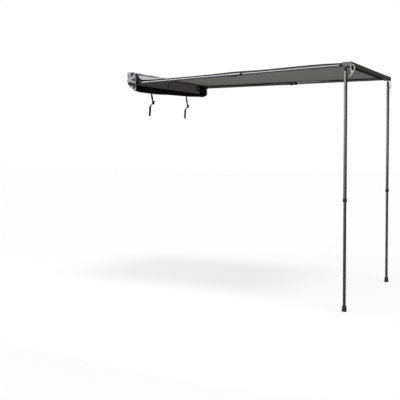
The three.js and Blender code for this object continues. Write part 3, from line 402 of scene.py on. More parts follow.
def dust_group():
    """A mask for dust that settles on faces that look up, thicker in patches."""
    net, given, out = start_effect("dust", {"Amount": 0.3}, ["Mask"])
    normal = net.add("ShaderNodeNewGeometry").outputs["Normal"]
    settled = net.remap(net.split(normal)["Z"], -0.1, 0.9)
    patches = net.remap(net.noise(9.0, 5.0, 0.65), 0.35, 0.7)
    net.feed(out["Mask"], net.multiply(net.multiply(settled, patches), given["Amount"], True))
    return net.tree


grain, edge_wear, weave = grain_group(), wear_group(), weave_group()
crease, dust = crease_group(), dust_group()
print("shared effects:", grain.name, edge_wear.name, weave.name, crease.name, dust.name)


# %% Start a finish
class Finish(Net):
    """A material, whose nodes start from its Object coordinates and end in its shader's inputs."""

    def __init__(self, name, roughness, metallic=0.0, **sockets):
        self.material = bpy.data.materials.new(name)
        self.material.use_nodes = True
        super().__init__(self.material.node_tree)
        self.shader = self.tree.nodes["Principled BSDF"].inputs
        for key, value in {"Roughness": roughness, "Metallic": metallic, **sockets}.items():
            self.shader[key.replace("_", " ")].default_value = value
        self.place = self.add("ShaderNodeTexCoord").outputs["Object"]

    def give(self, name, value):
        self.feed(self.shader[name], value)

    def bump(self, height, distance, strength=1.0):
        feeds = {"Height": height, "Distance": distance, "Strength": strength}
        self.give("Normal", self.add("ShaderNodeBump", feeds).outputs["Normal"])


def opaque(colour, factor=1.0):
    return (*(min(1.0, part * factor) for part in colour), 1.0)


# %% [markdown]
# ## The finishes of the hard parts
#
# The rail and the beam have a satin powder coat in a warm dark brown. The tubes are drawn aluminium with
# fine lines along them, the clips and caps are moulded plastic, and the bolts are zinc. Coat and plastic
# differ in their grain, their roughness and in whether metal shows where an edge is worn. The lug under a
# corner cap is black, as the leg's fork is.

# %% Build the hard finishes
POWDER = {
    "patches": 14.0, "edge": 0.0012, "shades": (0.9, 1.1), "dirt": (0.3, 0.27, 0.24, 1.0),
    "rough": (-0.05, 0.06), "film": 0.3, "bare": 0.8, "relief": 0.00006,
}
MOULDED = {
    "patches": 30.0, "edge": 0.0008, "shades": (0.85, 1.15), "dirt": (0.24, 0.22, 0.2, 1.0),
    "rough": (-0.06, 0.06), "film": 0.25, "bare": 0.0, "relief": 0.00008,
}
LUG_TOP, LUG_EDGE, LUG_SHADE = beam_low.z - 0.0025, 0.001, 0.12
BRIGHT_METAL, GREY = (0.5, 0.49, 0.47), (0.16, 0.16, 0.17)


def coated(kind, name, colour, worn, roughness, grain_scale=1100.0, wear=0.5, dusty=0.25, lug=False):
    net = Finish(name, roughness)
    bumps = net.effect(grain, Scale=grain_scale, Patch_Scale=kind["patches"])
    edge = net.effect(edge_wear, Amount=wear, Width=kind["edge"])["Mask"]
    film = net.effect(dust, Amount=dusty)["Mask"]
    skin = net.mix(bumps["Patches"], *[opaque(colour, shade) for shade in kind["shades"]])
    if lug:
        low = net.remap(net.split(net.place)["Z"], LUG_TOP, LUG_TOP + LUG_EDGE, 1.0, 0.0)
        skin = net.mix(low, skin, opaque(colour, LUG_SHADE))
    net.give("Base Color", net.mix(film, net.mix(edge, skin, opaque(worn)), kind["dirt"]))
    rough = net.remap(bumps["Patches"], 0.0, 1.0, *[roughness + more for more in kind["rough"]])
    net.give("Roughness", net.math("ADD", rough, net.multiply(film, kind["film"])))
    if kind["bare"]:
        net.give("Metallic", net.multiply(edge, kind["bare"]))
    net.bump(bumps["Height"], kind["relief"])
    return net.material


def plastic(name, colour, roughness, grain_scale=1500.0, wear=0.3, dusty=0.2, lug=False):
    worn = [part * 2.2 + 0.03 for part in colour]
    return coated(MOULDED, name, colour, worn, roughness, grain_scale, wear, dusty, lug)


def drawn_metal(name, colour, roughness, stretch):
    """Bare metal with fine lines along the axis that stretch makes long."""
    net = Finish(name, roughness, 1.0)
    longer = net.add("ShaderNodeMapping", {"Vector": net.place, "Scale": stretch}).outputs[0]
    lines = net.noise(900.0, 3.0, 0.6, longer)
    patches = net.remap(net.noise(7.0, 4.0, 0.6), 0.3, 0.7)
    shade = net.mix(lines, opaque(colour, 0.86), opaque(colour, 1.1))
    net.give("Base Color", net.mix(patches, shade, opaque(colour, 0.95)))
    rough = net.remap(lines, 0.2, 0.8, roughness - 0.05, roughness + 0.08)
    net.give("Roughness", net.math("ADD", rough, net.multiply(patches, 0.06)))
    net.bump(lines, 0.00003)
    return net.material


rail_coat = coated(POWDER, "rail_coat", (0.115, 0.098, 0.088), BRIGHT_METAL, 0.5)
beam_coat = coated(POWDER, "beam_coat", (0.068, 0.058, 0.053), BRIGHT_METAL, 0.48)
black_coat = coated(POWDER, "black_coat", (0.02, 0.02, 0.021), (0.35, 0.35, 0.36), 0.42, wear=0.7)
tube_metal = drawn_metal("tube_metal", (0.75, 0.765, 0.79), 0.26, (1.0, 0.012, 1.0))
leg_metal = drawn_metal("leg_metal", (0.52, 0.53, 0.55), 0.2, (1.0, 1.0, 0.012))
zinc = drawn_metal("zinc", (0.6, 0.6, 0.58), 0.36, (1.0, 1.0, 1.0))
black_plastic = plastic("black_plastic", (0.018, 0.018, 0.019), 0.5)
grey_plastic = plastic("grey_plastic", GREY, 0.48)
cap_plastic = plastic("cap_plastic", GREY, 0.48, lug=True)
rubber = plastic("rubber", (0.014, 0.014, 0.014), 0.72, 700.0, 0.15, 0.5)
print("hard finishes:", ", ".join(m.name for m in bpy.data.materials if m.use_nodes))

# %% [markdown]
# ## The cords
#
# Two guy cords hang from the corner caps. The near one is a loop, knotted below the cap, with a short
# tail. The far one is a single strand. Their surface is a plaited sleeve, drawn with many thin rings that
# swell where two sets of strands cross.

# %% Lay the cords
CORD_RADIUS, CORD_SIDES, CORD_STEP = 0.00225, 16, 0.0007
CORD_STRANDS, PLAIT_LENGTH, PLAIT_RELIEF = 4, 0.0085, 0.07
NEAR_CORD = [
    (-0.7585, -2.039, 0.05), (-0.764, -2.039, 0.0495), (-0.768, -2.0393, 0.044),
    (-0.7685, -2.0398, 0.03), (-0.768, -2.041, 0.015), (-0.767, -2.044, 0.002),
    (-0.7655, -2.049, -0.005), (-0.7635, -2.056, -0.005), (-0.761, -2.063, 0.002),
    (-0.7585, -2.0685, 0.014), (-0.7565, -2.0675, 0.03), (-0.755, -2.062, 0.042),
    (-0.7543, -2.0555, 0.049), (-0.7543, -2.0468, 0.05),
]
NEAR_TAIL = [
    (-0.7656, -2.0513, -0.0196), (-0.767, -2.046, -0.027),
    (-0.769, -2.038, -0.036), (-0.771, -2.03, -0.044),
]
FAR_CORD = [
    (0.7585, -2.039, 0.05), (0.764, -2.039, 0.0495), (0.7685, -2.0393, 0.043),
    (0.7695, -2.0395, 0.026), (0.7695, -2.04, 0.01), (0.769, -2.0405, -0.006),
]
CORD_HOOK = [
    (0.769, -2.0405, -0.003), (0.7688, -2.0402, -0.016), (0.7685, -2.039, -0.026),
    (0.768, -2.0345, -0.032), (0.7675, -2.0295, -0.0285), (0.7675, -2.028, -0.022),
]
HOOK_RADIUS, HOOK_SIDES = 0.0029, 14
KNOT_MIDDLE, KNOT_SIZE, KNOT_POINTS = Vector((-0.765, -2.051, -0.0118)), 0.0017, 120


def plait(length, angle):
    """Two sets of strands that wind opposite ways and cross."""
    wound = length / PLAIT_LENGTH * 2 * math.pi
    return 1 + PLAIT_RELIEF * max(
        math.cos(CORD_STRANDS * angle + wound), math.cos(CORD_STRANDS * angle - wound)
    )


def path_length(path):
    return sum((end - start).length for start, end in zip(path, path[1:]))


def knot_path():
    """An overhand knot pulled tight: a trefoil seen from the side."""
    path = []
    for i in range(KNOT_POINTS + 1):
        t = 2 * math.pi * i / KNOT_POINTS
        across, up = math.sin(t) + 2 * math.sin(2 * t), math.cos(t) - 2 * math.cos(2 * t)
        path.append(KNOT_MIDDLE + Vector((-math.sin(3 * t), across, up)) * KNOT_SIZE)
    return path


# %% Make the cords
def cord_finish(name, colour, fleck):
    """A plaited sleeve: matt, with darker flecks between the strands."""
    net = Finish(name, 0.85, Sheen_Weight=0.25)
    fibres = net.noise(1800.0, 4.0, 0.7)
    stains = net.remap(net.noise(60.0, 3.0, 0.6), 0.45, 0.75)
    strands = net.mix(fibres, opaque(colour, 0.8), opaque(colour, 1.1))
    net.give("Base Color", net.mix(stains, strands, opaque(fleck)))
    net.bump(fibres, 0.0002)
    return net.material


def make_cord(name, path, finish, slot, node):
    cord = make_tube(name, path, CORD_RADIUS, CORD_SIDES, finish, slot, "beam", plait)
    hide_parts(node)
    return cord


cream_cord = cord_finish("cream_cord", (0.86, 0.84, 0.76), (0.62, 0.58, 0.48))
grey_cord = cord_finish("grey_cord", (0.2, 0.2, 0.2), (0.1, 0.1, 0.1))
near_path, tail_path, far_path, hook_path = [
    spaced_path(points, CORD_STEP) for points in (NEAR_CORD, NEAR_TAIL, FAR_CORD, CORD_HOOK)
]
cream, grey = (cream_cord, "cream_cord"), (grey_cord, "grey_cord")
moulding = (black_plastic, "black_plastic")
near_cord = make_cord("near_cord", near_path, *cream, "near_guy_cord")
near_tail = make_cord("near_cord_tail", tail_path, *cream, "near_guy_tail")
far_cord = make_cord("far_cord", far_path, *grey, "far_guy_cord")
near_knot = make_cord("near_cord_knot", knot_path(), *cream, "near_guy_knot")
cord_hook = make_tube("far_cord_hook", hook_path, HOOK_RADIUS, HOOK_SIDES, *moulding, "beam")

# %% Say what the cords are
print("cords:", [round(path_length(path), 3) for path in (near_path, tail_path, far_path)])

# %% [markdown]
# ## Soft edges on the hard parts
#
# Real edges have a small radius that catches the light. The CAD meshes stay as they are, so modifiers do
# it: Weld joins the loose triangles, Bevel rounds every edge sharper than the facets of a tube, and
# Weighted Normal keeps the flats flat.

# %% Dress the hard parts
EDGE_RADIUS = {"rail": 0.0003, "cap": 0.0007, "tube": 0.0002, "foot": 0.0008}
OTHER_RADIUS = 0.0004
WELD_REACH, EDGE_SEGMENTS, FACET_ANGLE = 1e-5, 2, math.radians(32)
FINISH_OF_SLOT = {
    "charcoal_coat": rail_coat, "silver_tube": tube_metal, "black_plastic": black_plastic,
    "grey_plastic": grey_plastic, "zinc_steel": zinc, "black_steel": black_coat,
}
FINISH_OF_NODE = {
    "front_beam": beam_coat, "near_leg_foot": rubber, "far_leg_foot": rubber,
    "near_corner_cap": cap_plastic, "far_corner_cap": cap_plastic,
}


def dress(node, finish, radius):
    mesh = node.data
    if "custom_normal" in mesh.attributes:
        mesh.attributes.remove(mesh.attributes["custom_normal"])
    mesh.polygons.foreach_set("use_smooth", [True] * len(mesh.polygons))
    node.material_slots[0].material = finish
    node.modifiers.new("Weld", "WELD").merge_threshold = WELD_REACH
    bevel = node.modifiers.new("Bevel", "BEVEL")
    bevel.width, bevel.segments, bevel.angle_limit = radius, EDGE_SEGMENTS, FACET_ANGLE
    bevel.use_clamp_overlap, bevel.limit_method = True, "ANGLE"
    node.modifiers.new("Even", "WEIGHTED_NORMAL").keep_sharp = True


for name, node in nodes.items():
    slot_name = node.material_slots[0].material.name
    if slot_name not in FINISH_OF_SLOT:
        continue
    metal = leg_metal if "leg" in name and slot_name == "silver_tube" else FINISH_OF_SLOT[slot_name]
    radius = next((r for word, r in EDGE_RADIUS.items() if word in name), OTHER_RADIUS)
    dress(node, FINISH_OF_NODE.get(name, metal), radius)
print("dressed", sum(bool(node.modifiers) for node in nodes.values()), "hard parts")

# %% [markdown]
# ## The finishes of the cloth
#
# The canopy is a fine plain weave, dark grey below and with a paler silver coat above. The bag is a heavy
# PVC, black outside. Its lining is pale and creases sharply, with shade painted into the creases: each
# crumpled piece stores how deep every point lies in a fold, and the finish paints the deep points dark.

# %% Build the cloth finishes
CLOTH_DIRT = (0.3, 0.28, 0.26, 1.0)


def woven_cloth(name, colour, pitch, roughness, relief, dusty=0.1, **sockets):
    net = Finish(name, roughness, **sockets)
    cut = net.add("ShaderNodeUVMap", uv_map="cut").outputs["UV"]
    threads = net.effect(weave, Place=cut, Pitch=pitch)
    film = net.effect(dust, Amount=dusty)["Mask"]
    tone = net.remap(net.noise(5.0, 4.0, 0.6), 0.3, 0.7)
    yarn = net.mix(threads["Thread"], opaque(colour, 0.93), opaque(colour, 1.06))
    faded = net.mix(tone, yarn, opaque(colour, 1.05))
    net.give("Base Color", net.mix(film, faded, CLOTH_DIRT))
    net.give("Roughness", net.remap(tone, 0.0, 1.0, roughness - 0.04, roughness + 0.05))
    net.bump(threads["Height"], relief)
    return net.material


def dark_cloth(name, colour, pitch, roughness, relief, gloss):
    return woven_cloth(name, colour, pitch, roughness, relief, 0.02, Specular_IOR_Level=gloss)


def fold_shaded_cloth(name, ridge, painted_fold_shade, roughness):
    """Coated cloth, pale on its ridges, with painted shade in its folds from the attribute "fold" and on
    its crease lines.
    """
    net = Finish(name, roughness, Coat_Weight=0.25, Coat_Roughness=0.3)
    fold = net.add("ShaderNodeAttribute", attribute_name="fold").outputs["Fac"]
    creased = net.effect(crease)
    # Painted shade: the crease lines are darkened.
    crease_line_shade = net.math("SUBTRACT", 1.0, net.multiply(creased["Line"], 0.8))
    # Painted shade: the deep points of each fold take the dark colour, and the ridges keep the lining's
    # pale colour.
    tone = net.multiply(net.remap(fold, 0.2, 0.58, smooth=True), crease_line_shade)
    net.give("Base Color", net.mix(tone, opaque(painted_fold_shade), opaque(ridge)))
    net.give("Roughness", net.remap(tone, 0.0, 1.0, roughness + 0.2, roughness))
    net.bump(creased["Height"], 0.012, 0.8)
    return net.material


canopy_under = woven_cloth("canopy_under", (0.17, 0.17, 0.165), 0.0009, 0.85, 0.0001, Sheen_Weight=0.05)
canopy_top = woven_cloth("canopy_top", (0.6, 0.605, 0.66), 0.0009, 0.6, 0.0001)
tape_cloth = dark_cloth("tape_cloth", (0.006, 0.006, 0.0065), 0.0012, 0.7, 0.0002, 0.2)
bag_cloth = dark_cloth("bag_cloth", (0.003, 0.003, 0.0035), 0.0016, 0.6, 0.0001, 0.15)
webbing = dark_cloth("webbing", (0.005, 0.005, 0.005), 0.0016, 0.8, 0.0004, 0.2)
# The lining's second, near-black colour is painted shade for its folds.
bag_lining_shaded_folds = fold_shaded_cloth("bag_lining_shaded_folds", (0.36, 0.365, 0.41), (0.013, 0.014, 0.018), 0.4)
sewing_thread = cord_finish("sewing_thread", (0.05, 0.05, 0.052), (0.03, 0.03, 0.03))
canopy_tape, bag_tape = (tape_cloth, "canopy_cloth"), (tape_cloth, "bag_cloth")
bag_outside, bag_inside = (bag_cloth, "bag_cloth"), (bag_lining_shaded_folds, "bag_cloth")
print("cloth finishes:", ", ".join(name for name in bpy.data.materials.keys() if "cloth" in name))

# %% [markdown]
# ## The canopy
#
# The cloth is one sheet. Its ends run into round channels in the rail and the beam, its far edge is pulled
# nearly straight and its near edge droops on to the arm. Beside the rail it falls steeply and gathers into
# small folds. A few curves give this shape, so it keeps clear of the arms and the locks. Solidify gives
# the lower side the second finish.

# %% Shape the canopy
CANOPY_HALF, CLOTH_THICKNESS = 0.735, 0.0016
RAIL_FACE, BEAM_FACE = -0.034, beam_high.y
RAIL_BEAD, BEAM_BEAD = Vector((0, -0.027, 0.0555)), Vector((0, BEAM_FACE - 0.0066, 0.0674))
NEAR_HINGE = Vector(joints["near_arm_swing"]["pos_m"])
ARM_LEAN = math.atan2(0.052 - NEAR_HINGE.z, NEAR_HINGE.y - BEAM_FACE)
NEAR_LOCK_Y = -1.015
HEM_LIFT, LOCK_LIFT, LOCK_REACH, BEAM_LIFT = 0.0145, 0.0065, 0.2, 0.0065
CORNER_RISE, CORNER_REACH, CORNER_POWER = 0.0585, 0.24, 12
SAG, CROWN, RAIL_LIFT, CHANNEL_REACH = 0.014, 0.006, 0.004, 0.016
SAG_SHIFT, DROOP_WIDTH, DROOP_MORE, DROOP_FROM_RAIL = 1.4, 0.15, 0.35, 0.45
WRINKLE, WRINKLE_PITCH, WRINKLE_REACH = 0.004, 0.046, 0.32
CREASE, CREASE_REACH, CREASE_START = 0.0012, 0.25, 0.12
CREASE_FANS = ((-1, RAIL_FACE, 23), (1, RAIL_FACE, 19), (-1, BEAM_FACE, 17), (1, BEAM_FACE, 21))
UNEVEN, EDGE_CALM, END_CALM = 0.9, 0.06, 0.05


def near_hem_height(y):
    """The near edge lies on the arm, lifts over its lock and before the beam, and climbs at the rail."""
    arm = NEAR_HINGE.z + (NEAR_HINGE.y - y) * math.tan(ARM_LEAN)
    over_lock = LOCK_LIFT * math.exp(-(((y - NEAR_LOCK_Y) / LOCK_REACH) ** 2))
    beyond = clamp((NEAR_LOCK_Y - y) / (NEAR_LOCK_Y - BEAM_FACE))
    to_beam = BEAM_LIFT * math.sin(math.pi * beyond**2)
    fall = max(0.0, 1 - (RAIL_FACE - y) / CORNER_REACH)
    return arm + HEM_LIFT + over_lock + to_beam + CORNER_RISE * fall**CORNER_POWER


def canopy_height(x, y):
    across = clamp((x + CANOPY_HALF) / (2 * CANOPY_HALF)) ** (1 / SAG_SHIFT)
    from_rail, near = RAIL_FACE - y, x + CANOPY_HALF
    free = window(y, BEAM_FACE, RAIL_FACE, CHANNEL_REACH)
    out = clamp(from_rail / (RAIL_FACE - BEAM_FACE))
    seam = between(RAIL_BEAD.z, BEAM_BEAD.z, out)
    bow = 4 * out * (1 - out)
    flat = seam + RAIL_LIFT * (1 - out) + CROWN * bow * across
    flat -= SAG * bow * math.sin(math.pi * across)
    fade = math.exp(-near / (DROOP_WIDTH + DROOP_MORE * smooth_step(from_rail / DROOP_FROM_RAIL)))
    droop = (flat - near_hem_height(y)) * fade
    corner = math.exp(-math.hypot(near, WRINKLE_PITCH - from_rail) / WRINKLE_REACH)
    wave = WRINKLE * math.sin((near - y) / WRINKLE_PITCH * math.pi) * corner * (1 - fade)
    return seam + free * (flat - droop + wave - seam)


def canopy_creases(x, y):
    """Small folds that fan out from the four corners, and a faint unevenness everywhere."""
    total = UNEVEN * noise.noise(Vector((x * 6, y * 5, 0)))
    for side, end, turn_rate in CREASE_FANS:
        dx, dy = x - side * CANOPY_HALF, y - end
        away = math.hypot(dx, dy)
        fan = math.sin(turn_rate * math.atan2(dy, dx) + side)
        total += fan * smooth_step(away / CREASE_START) * math.exp(-away / CREASE_REACH)
    edge = window(x, -CANOPY_HALF, CANOPY_HALF, EDGE_CALM)
    return CREASE * total * edge * window(y, BEAM_FACE, RAIL_FACE, END_CALM)


def canopy_place(x, y, lift=0.0):
    return Vector((x, y, canopy_height(x, y) + canopy_creases(x, y) + lift))


# %% Make the canopy
# The rows lie close together beside each channel and in the steep corner at the rail.
ROW_STOPS = [(0, RAIL_BEAD.y), (0.03, RAIL_FACE), (0.1, -0.055), (0.36, -0.3), (0.94, -1.94),
             (0.98, BEAM_FACE), (1, BEAM_BEAD.y)]
COLUMNS, ROWS, NEAR_CROWDING = 110, 170, 1.3
CANOPY_LENGTH = RAIL_BEAD.y - BEAM_BEAD.y
CANOPY_CUT = (2 * CANOPY_HALF, CANOPY_LENGTH)


def stretched(piece):
    """Bakes a piece's place into its mesh, so that it rides on no body."""
    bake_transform(piece)
    return piece


canopy = make_sheet(
    "canopy_sheet", (COLUMNS, ROWS),
    lambda u, v: canopy_place((u**NEAR_CROWDING * 2 - 1) * CANOPY_HALF, along(ROW_STOPS, v)), CANOPY_CUT,
    canopy_top, "canopy_cloth", None, [shell(CLOTH_THICKNESS, material_offset=1)], True,
)
canopy.data.materials.append(canopy_under)
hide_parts("canopy")
stretched(canopy)

# %% Hem the canopy and close it in its channels
HEM_WIDTH, HEM_RISE, HEM_TURN, HEM_THICKNESS, HEM_COLUMNS = 0.024, 0.0026, 0.14, 0.0008, 26
HEM_ENDS = (RAIL_FACE - 0.006, BEAM_FACE + 0.006)
EDGE_CORD, EDGE_CORD_OUT, EDGE_CORD_DROP, EDGE_POINTS = 0.0026, 0.0045, 0.0042, 119
BEAD_RADIUS, ROUND = 0.0034, 12
SIDES = ((-1, "near"), (1, "far"))


def hem_place(side, u, v):
    """A strip folded over the sheet's edge: above it, round its end and back below it."""
    s = (u - 0.5) * 2
    if abs(s) > HEM_TURN:
        inset, lift = (abs(s) - HEM_TURN) / (1 - HEM_TURN) * HEM_WIDTH, math.copysign(HEM_RISE, s)
    else:
        angle = s / HEM_TURN * math.pi / 2
        inset, lift = -HEM_RISE * math.cos(angle), HEM_RISE * math.sin(angle)
    x, y = side * (CANOPY_HALF - inset), between(*HEM_ENDS, v)
    held = side * min(abs(x), CANOPY_HALF)
    return Vector((x, y, canopy_place(held, y).z + lift))


def edge_line(side, inset, lift, count, more=0.0):
    """Points beside an edge of the cloth, from the rail to the beam."""
    x, first, last = side * (CANOPY_HALF - inset), HEM_ENDS[0] - more, HEM_ENDS[1] + more
    return [canopy_place(x, between(first, last, i / count), lift) for i in range(count + 1)]


for side, name in SIDES:
    stretched(make_sheet(
        f"{name}_canopy_hem", (HEM_COLUMNS, ROWS), lambda u, v: hem_place(side, u, v),
        (2 * HEM_WIDTH, CANOPY_LENGTH), *canopy_tape, None, [shell(HEM_THICKNESS, offset=-1.0)], side < 0,
    ))

# A cord in the far hem's edge pulls it down beside the arm.
outward = Vector((EDGE_CORD_OUT, 0, 0))
line = [point + outward for point in edge_line(1, 0.0, -EDGE_CORD_DROP, EDGE_POINTS)]
stretched(make_tube("far_edge_cord", line, EDGE_CORD, ROUND, *canopy_tape))
for name, centre, body in (("rear", RAIL_BEAD, "rail"), ("front", BEAM_BEAD, "beam")):
    line = [centre + Vector((share * CANOPY_HALF, 0, 0)) for share in (-1, -0.5, 0, 0.5, 1)]
    make_tube(f"{name}_bead", line, BEAD_RADIUS, ROUND, *canopy_tape, body)

# %% Tape the canopy beside its channels
TAPE_WIDTH, TAPE_RISE, TAPE_THICKNESS, TAPE_ROWS = 0.014, 0.0016, 0.0007, 8
TAPES = (
    ("rail_lower", RAIL_FACE - 0.0005, -1, -1),
    ("beam_lower", BEAM_FACE + 0.0005, 1, -1),
    ("beam_upper", BEAM_FACE + 0.0005, 1, 1),
)


def tape_place(first, toward, side, u, v):
    """A strip sewn over the sheet where it leaves a channel."""
    x = (u * 2 - 1) * (CANOPY_HALF - TAPE_RISE)
    return canopy_place(x, first + toward * v * TAPE_WIDTH, side * TAPE_RISE)


for name, *place in TAPES:
    stretched(make_sheet(
        f"{name}_tape", (COLUMNS, TAPE_ROWS), lambda u, v: tape_place(*place, u, v),
        (2 * CANOPY_HALF, TAPE_WIDTH), *canopy_tape, None, [shell(TAPE_THICKNESS)],
    ))

# %% [markdown]
# ## Seams
#
# A seam is modelled as a row of short thread ends: a small rounded grain for each stitch, laid along the
# line that the needle followed. A grain has few faces, because there are hundreds of them.

# %% Sew the hems
STITCH_PITCH, STITCH_LENGTH, THREAD_RADIUS = 0.005, 0.0036, 0.00045
SEAM_LIFT, SEAM_INSETS, SEAM_POINTS, SEAM_MORE = HEM_RISE + THREAD_RADIUS / 3, (0.005, 0.02), 90, 0.004


def one_stitch():
    work = bmesh.new()
    size = Matrix.Diagonal((THREAD_RADIUS, THREAD_RADIUS, STITCH_LENGTH / 2, 1))
    bmesh.ops.create_uvsphere(work, u_segments=6, v_segments=4, radius=1.0, matrix=size)
    mesh = bpy.data.meshes.new("stitch")
    work.to_mesh(mesh)
    work.free()
    return mesh


stitch = one_stitch()


def sew(name, lines, slot, body=None):
    """One piece with a stitch at every pitch along each line of points."""
    work = bmesh.new()
    for line in lines:
        path = spaced_path(line, STITCH_PITCH)
        for start, end in zip(path, path[1:]):
            turned = (end - start).to_track_quat("Z", "Y").to_matrix().to_4x4()
            place = Matrix.Translation((start + end) / 2) @ turned
            stitch.transform(place)
            work.from_mesh(stitch, face_normals=False, vertex_normals=False)
            stitch.transform(place.inverted())
    return make_piece(name, work, sewing_thread, slot, body)


for side, name in SIDES:
    rows = [(inset, lift) for inset in SEAM_INSETS for lift in (-SEAM_LIFT, SEAM_LIFT)]
    lines = [edge_line(side, inset, lift, SEAM_POINTS, SEAM_MORE) for inset, lift in rows]
    stretched(sew(f"{name}_hem_seams", lines, "canopy_cloth"))

# %% [markdown]
# ## The bag
#
# Open, the bag hangs from the rail in four pieces: a lower flap, a far end that still wraps the rail, a
# top flap folded behind and over the rail, and a near end that has collapsed beside it. A few curves place
# the first two, with a corded edge sewn round them. The other two are crumpled.

# %% Hang the lower flap
FLAP_LEFT, FLAP_RIGHT = -0.7495, 0.61
FLAP_TOP, FLAP_WAVE, FLAP_PITCH = rail_low.z + 0.0019, 0.003, 0.17
FLAP_EDGE = [
    (-0.7495, -0.09), (-0.66, -0.0975), (-0.4, -0.0975), (0, -0.085), (0.3, -0.0785), (0.61, -0.0655)
]
FLAP_CUT = (FLAP_RIGHT - FLAP_LEFT, 0.05)
FLAP_OUT, FLAP_ROUNDING, ROUNDING_SHARE, FLAP_UNEVEN = 0.008, 0.008, 0.006, 0.0012
BAG_THICKNESS = 0.0024


def flap_drop(x):
    return rail_low.z - along(FLAP_EDGE, x, smooth_step)


def flap_front(x, z):
    low = clamp((rail_low.z - z) / flap_drop(x))
    return RAIL_FACE + FLAP_OUT - low * FLAP_WAVE * (1 + math.sin(x / FLAP_PITCH * math.pi))


def flap_place(u, v):
    x = between(FLAP_LEFT, FLAP_RIGHT, u)
    corner = FLAP_ROUNDING * (1 - smooth_step(min(u, 1 - u) / ROUNDING_SHARE))
    z = between(FLAP_TOP, rail_low.z - flap_drop(x) + corner, v)
    uneven = FLAP_UNEVEN * v * noise.noise(Vector((x * 22, z * 30, 2)))
    return Vector((x, flap_front(x, z) + uneven, z))


BAG_SHELL = [shell(BAG_THICKNESS)]
lower_flap = make_sheet("lower_flap", (220, 16), flap_place, FLAP_CUT, *bag_outside, "rail", BAG_SHELL)
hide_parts("bag_lower_flap")

# %% Cord the flap's edge
PIPING_RADIUS, PIPING_SIDES, PIPING_STEP = 0.0021, 10, 0.004
SEAM_FRONT = Vector((0, -0.0014, 0))
FLAP_SHARES, END_SHARES = 60, 40


def cord_edge(name, points):
    """Piping: a round cord in a strip of cloth."""
    path = spaced_path(points, PIPING_STEP)
    return make_tube(name, path, PIPING_RADIUS, PIPING_SIDES, *bag_tape, "rail")


def cloth_row(place, shares, first, last, v, off=Vector()):
    """Points across a cloth at the height v."""
    return [place(i / shares, v) + off for i in range(first, last + 1)]


flap_rim = [flap_place(0, v / 6) for v in range(2, 7)] + cloth_row(flap_place, FLAP_SHARES, 1, 60, 1)
flap_piping = cord_edge("flap_piping", flap_rim)
seam_rows = [cloth_row(flap_place, FLAP_SHARES, 1, 59, v, SEAM_FRONT) for v in (0.86, 0.93)]
flap_seams = sew("flap_seams", seam_rows, "bag_cloth", "rail")

# %% Shape the far end
END_LEFT, END_RIGHT, END_LOW, END_TOP = 0.583, 0.7573, -0.067, 0.052
END_NOTCH, NOTCH_LEFT, NOTCH_RIGHT, NOTCH_SLOPES = 0.016, 0.693, 0.7525, (0.004, 0.003)
END_FRONT, END_REAR, END_FOLD = -0.0395, 0.006, 0.004
CORNER_START, CORNER_LIFT, CORNER_SHAPE = 0.57, 0.04, 3.0
END_LEAST, END_UNEVEN, LAP_FADE = 0.008, 0.0012, 0.05
LAPS = ((0.036, 0.0065, 0.095), (0.002, 0.0075, 0.11), (-0.05, 0.012, 0.03))
END_CUT = (0.22, 0.119)


def end_low(x):
    over = max(0.0, x - CORNER_START) / (END_RIGHT - CORNER_START)
    return END_LOW + CORNER_LIFT * over**CORNER_SHAPE


def end_top(x):
    """The panel is cut low under the arm's clevis and is high on both sides of it."""
    return between(END_TOP, END_NOTCH, window(x, NOTCH_LEFT, NOTCH_RIGHT, *NOTCH_SLOPES))


def far_end_place(u, v):
    """Along the front panel, round the fold and back beside the rail's end."""
    flat = END_RIGHT - END_FOLD - END_LEFT
    bend = END_FOLD * math.pi / 2
    back = END_REAR - END_FRONT - END_FOLD
    s = u * (flat + bend + back)
    if s < flat:
        x, y = END_LEFT + s, END_FRONT
    elif s < flat + bend:
        angle = (s - flat) / END_FOLD
        x = END_RIGHT - END_FOLD + END_FOLD * math.sin(angle)
        y = END_FRONT + END_FOLD * (1 - math.cos(angle))
    else:
        x, y = END_RIGHT, END_FRONT + END_FOLD + s - flat - bend
    top = end_top(x)
    z = between(top, min(end_low(x), top - END_LEAST), v)
    ease = (1 - min(1.0, s / LAP_FADE)) ** 2
    laps = sum(reach * math.exp(-(((z - height) / width) ** 2)) for height, width, reach in LAPS)
    bulge = END_UNEVEN * noise.noise(Vector((x * 30, z * 34, 5)))
    return Vector((x - laps * ease, y - max(0.0, bulge), z))


far_end = make_sheet("bag_end_far", (110, 44), far_end_place, END_CUT, *bag_outside, "rail", BAG_SHELL)
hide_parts("bag_far_end")
end_piping = cord_edge("far_end_piping", cloth_row(far_end_place, END_SHARES, 0, 32, 1))
seam = cloth_row(far_end_place, END_SHARES, 0, 30, 0.9, SEAM_FRONT)
end_seams = sew("far_end_seams", [seam], "bag_cloth", "rail")

# %% [markdown]
# ## Crumpled cloth
#
# A crumple comes from cloth with too much length for its space. So a short simulation is told that the
# cloth is a little larger than a plain shape, and has to fold the rest away. A few points are held, and a
# cap on how far a point may move keeps the piece clear of its neighbours. Then each point learns how deep
# it lies in a fold, by comparing the piece with a smoothed copy of itself.

# %% Crumple a mesh and mark its folds
CLOTH_FRAMES, CLOTH_QUALITY, CLOTH_MASS, CLOTH_STRETCH, CLOTH_SHEAR = 14, 6, 0.2, 20, 8


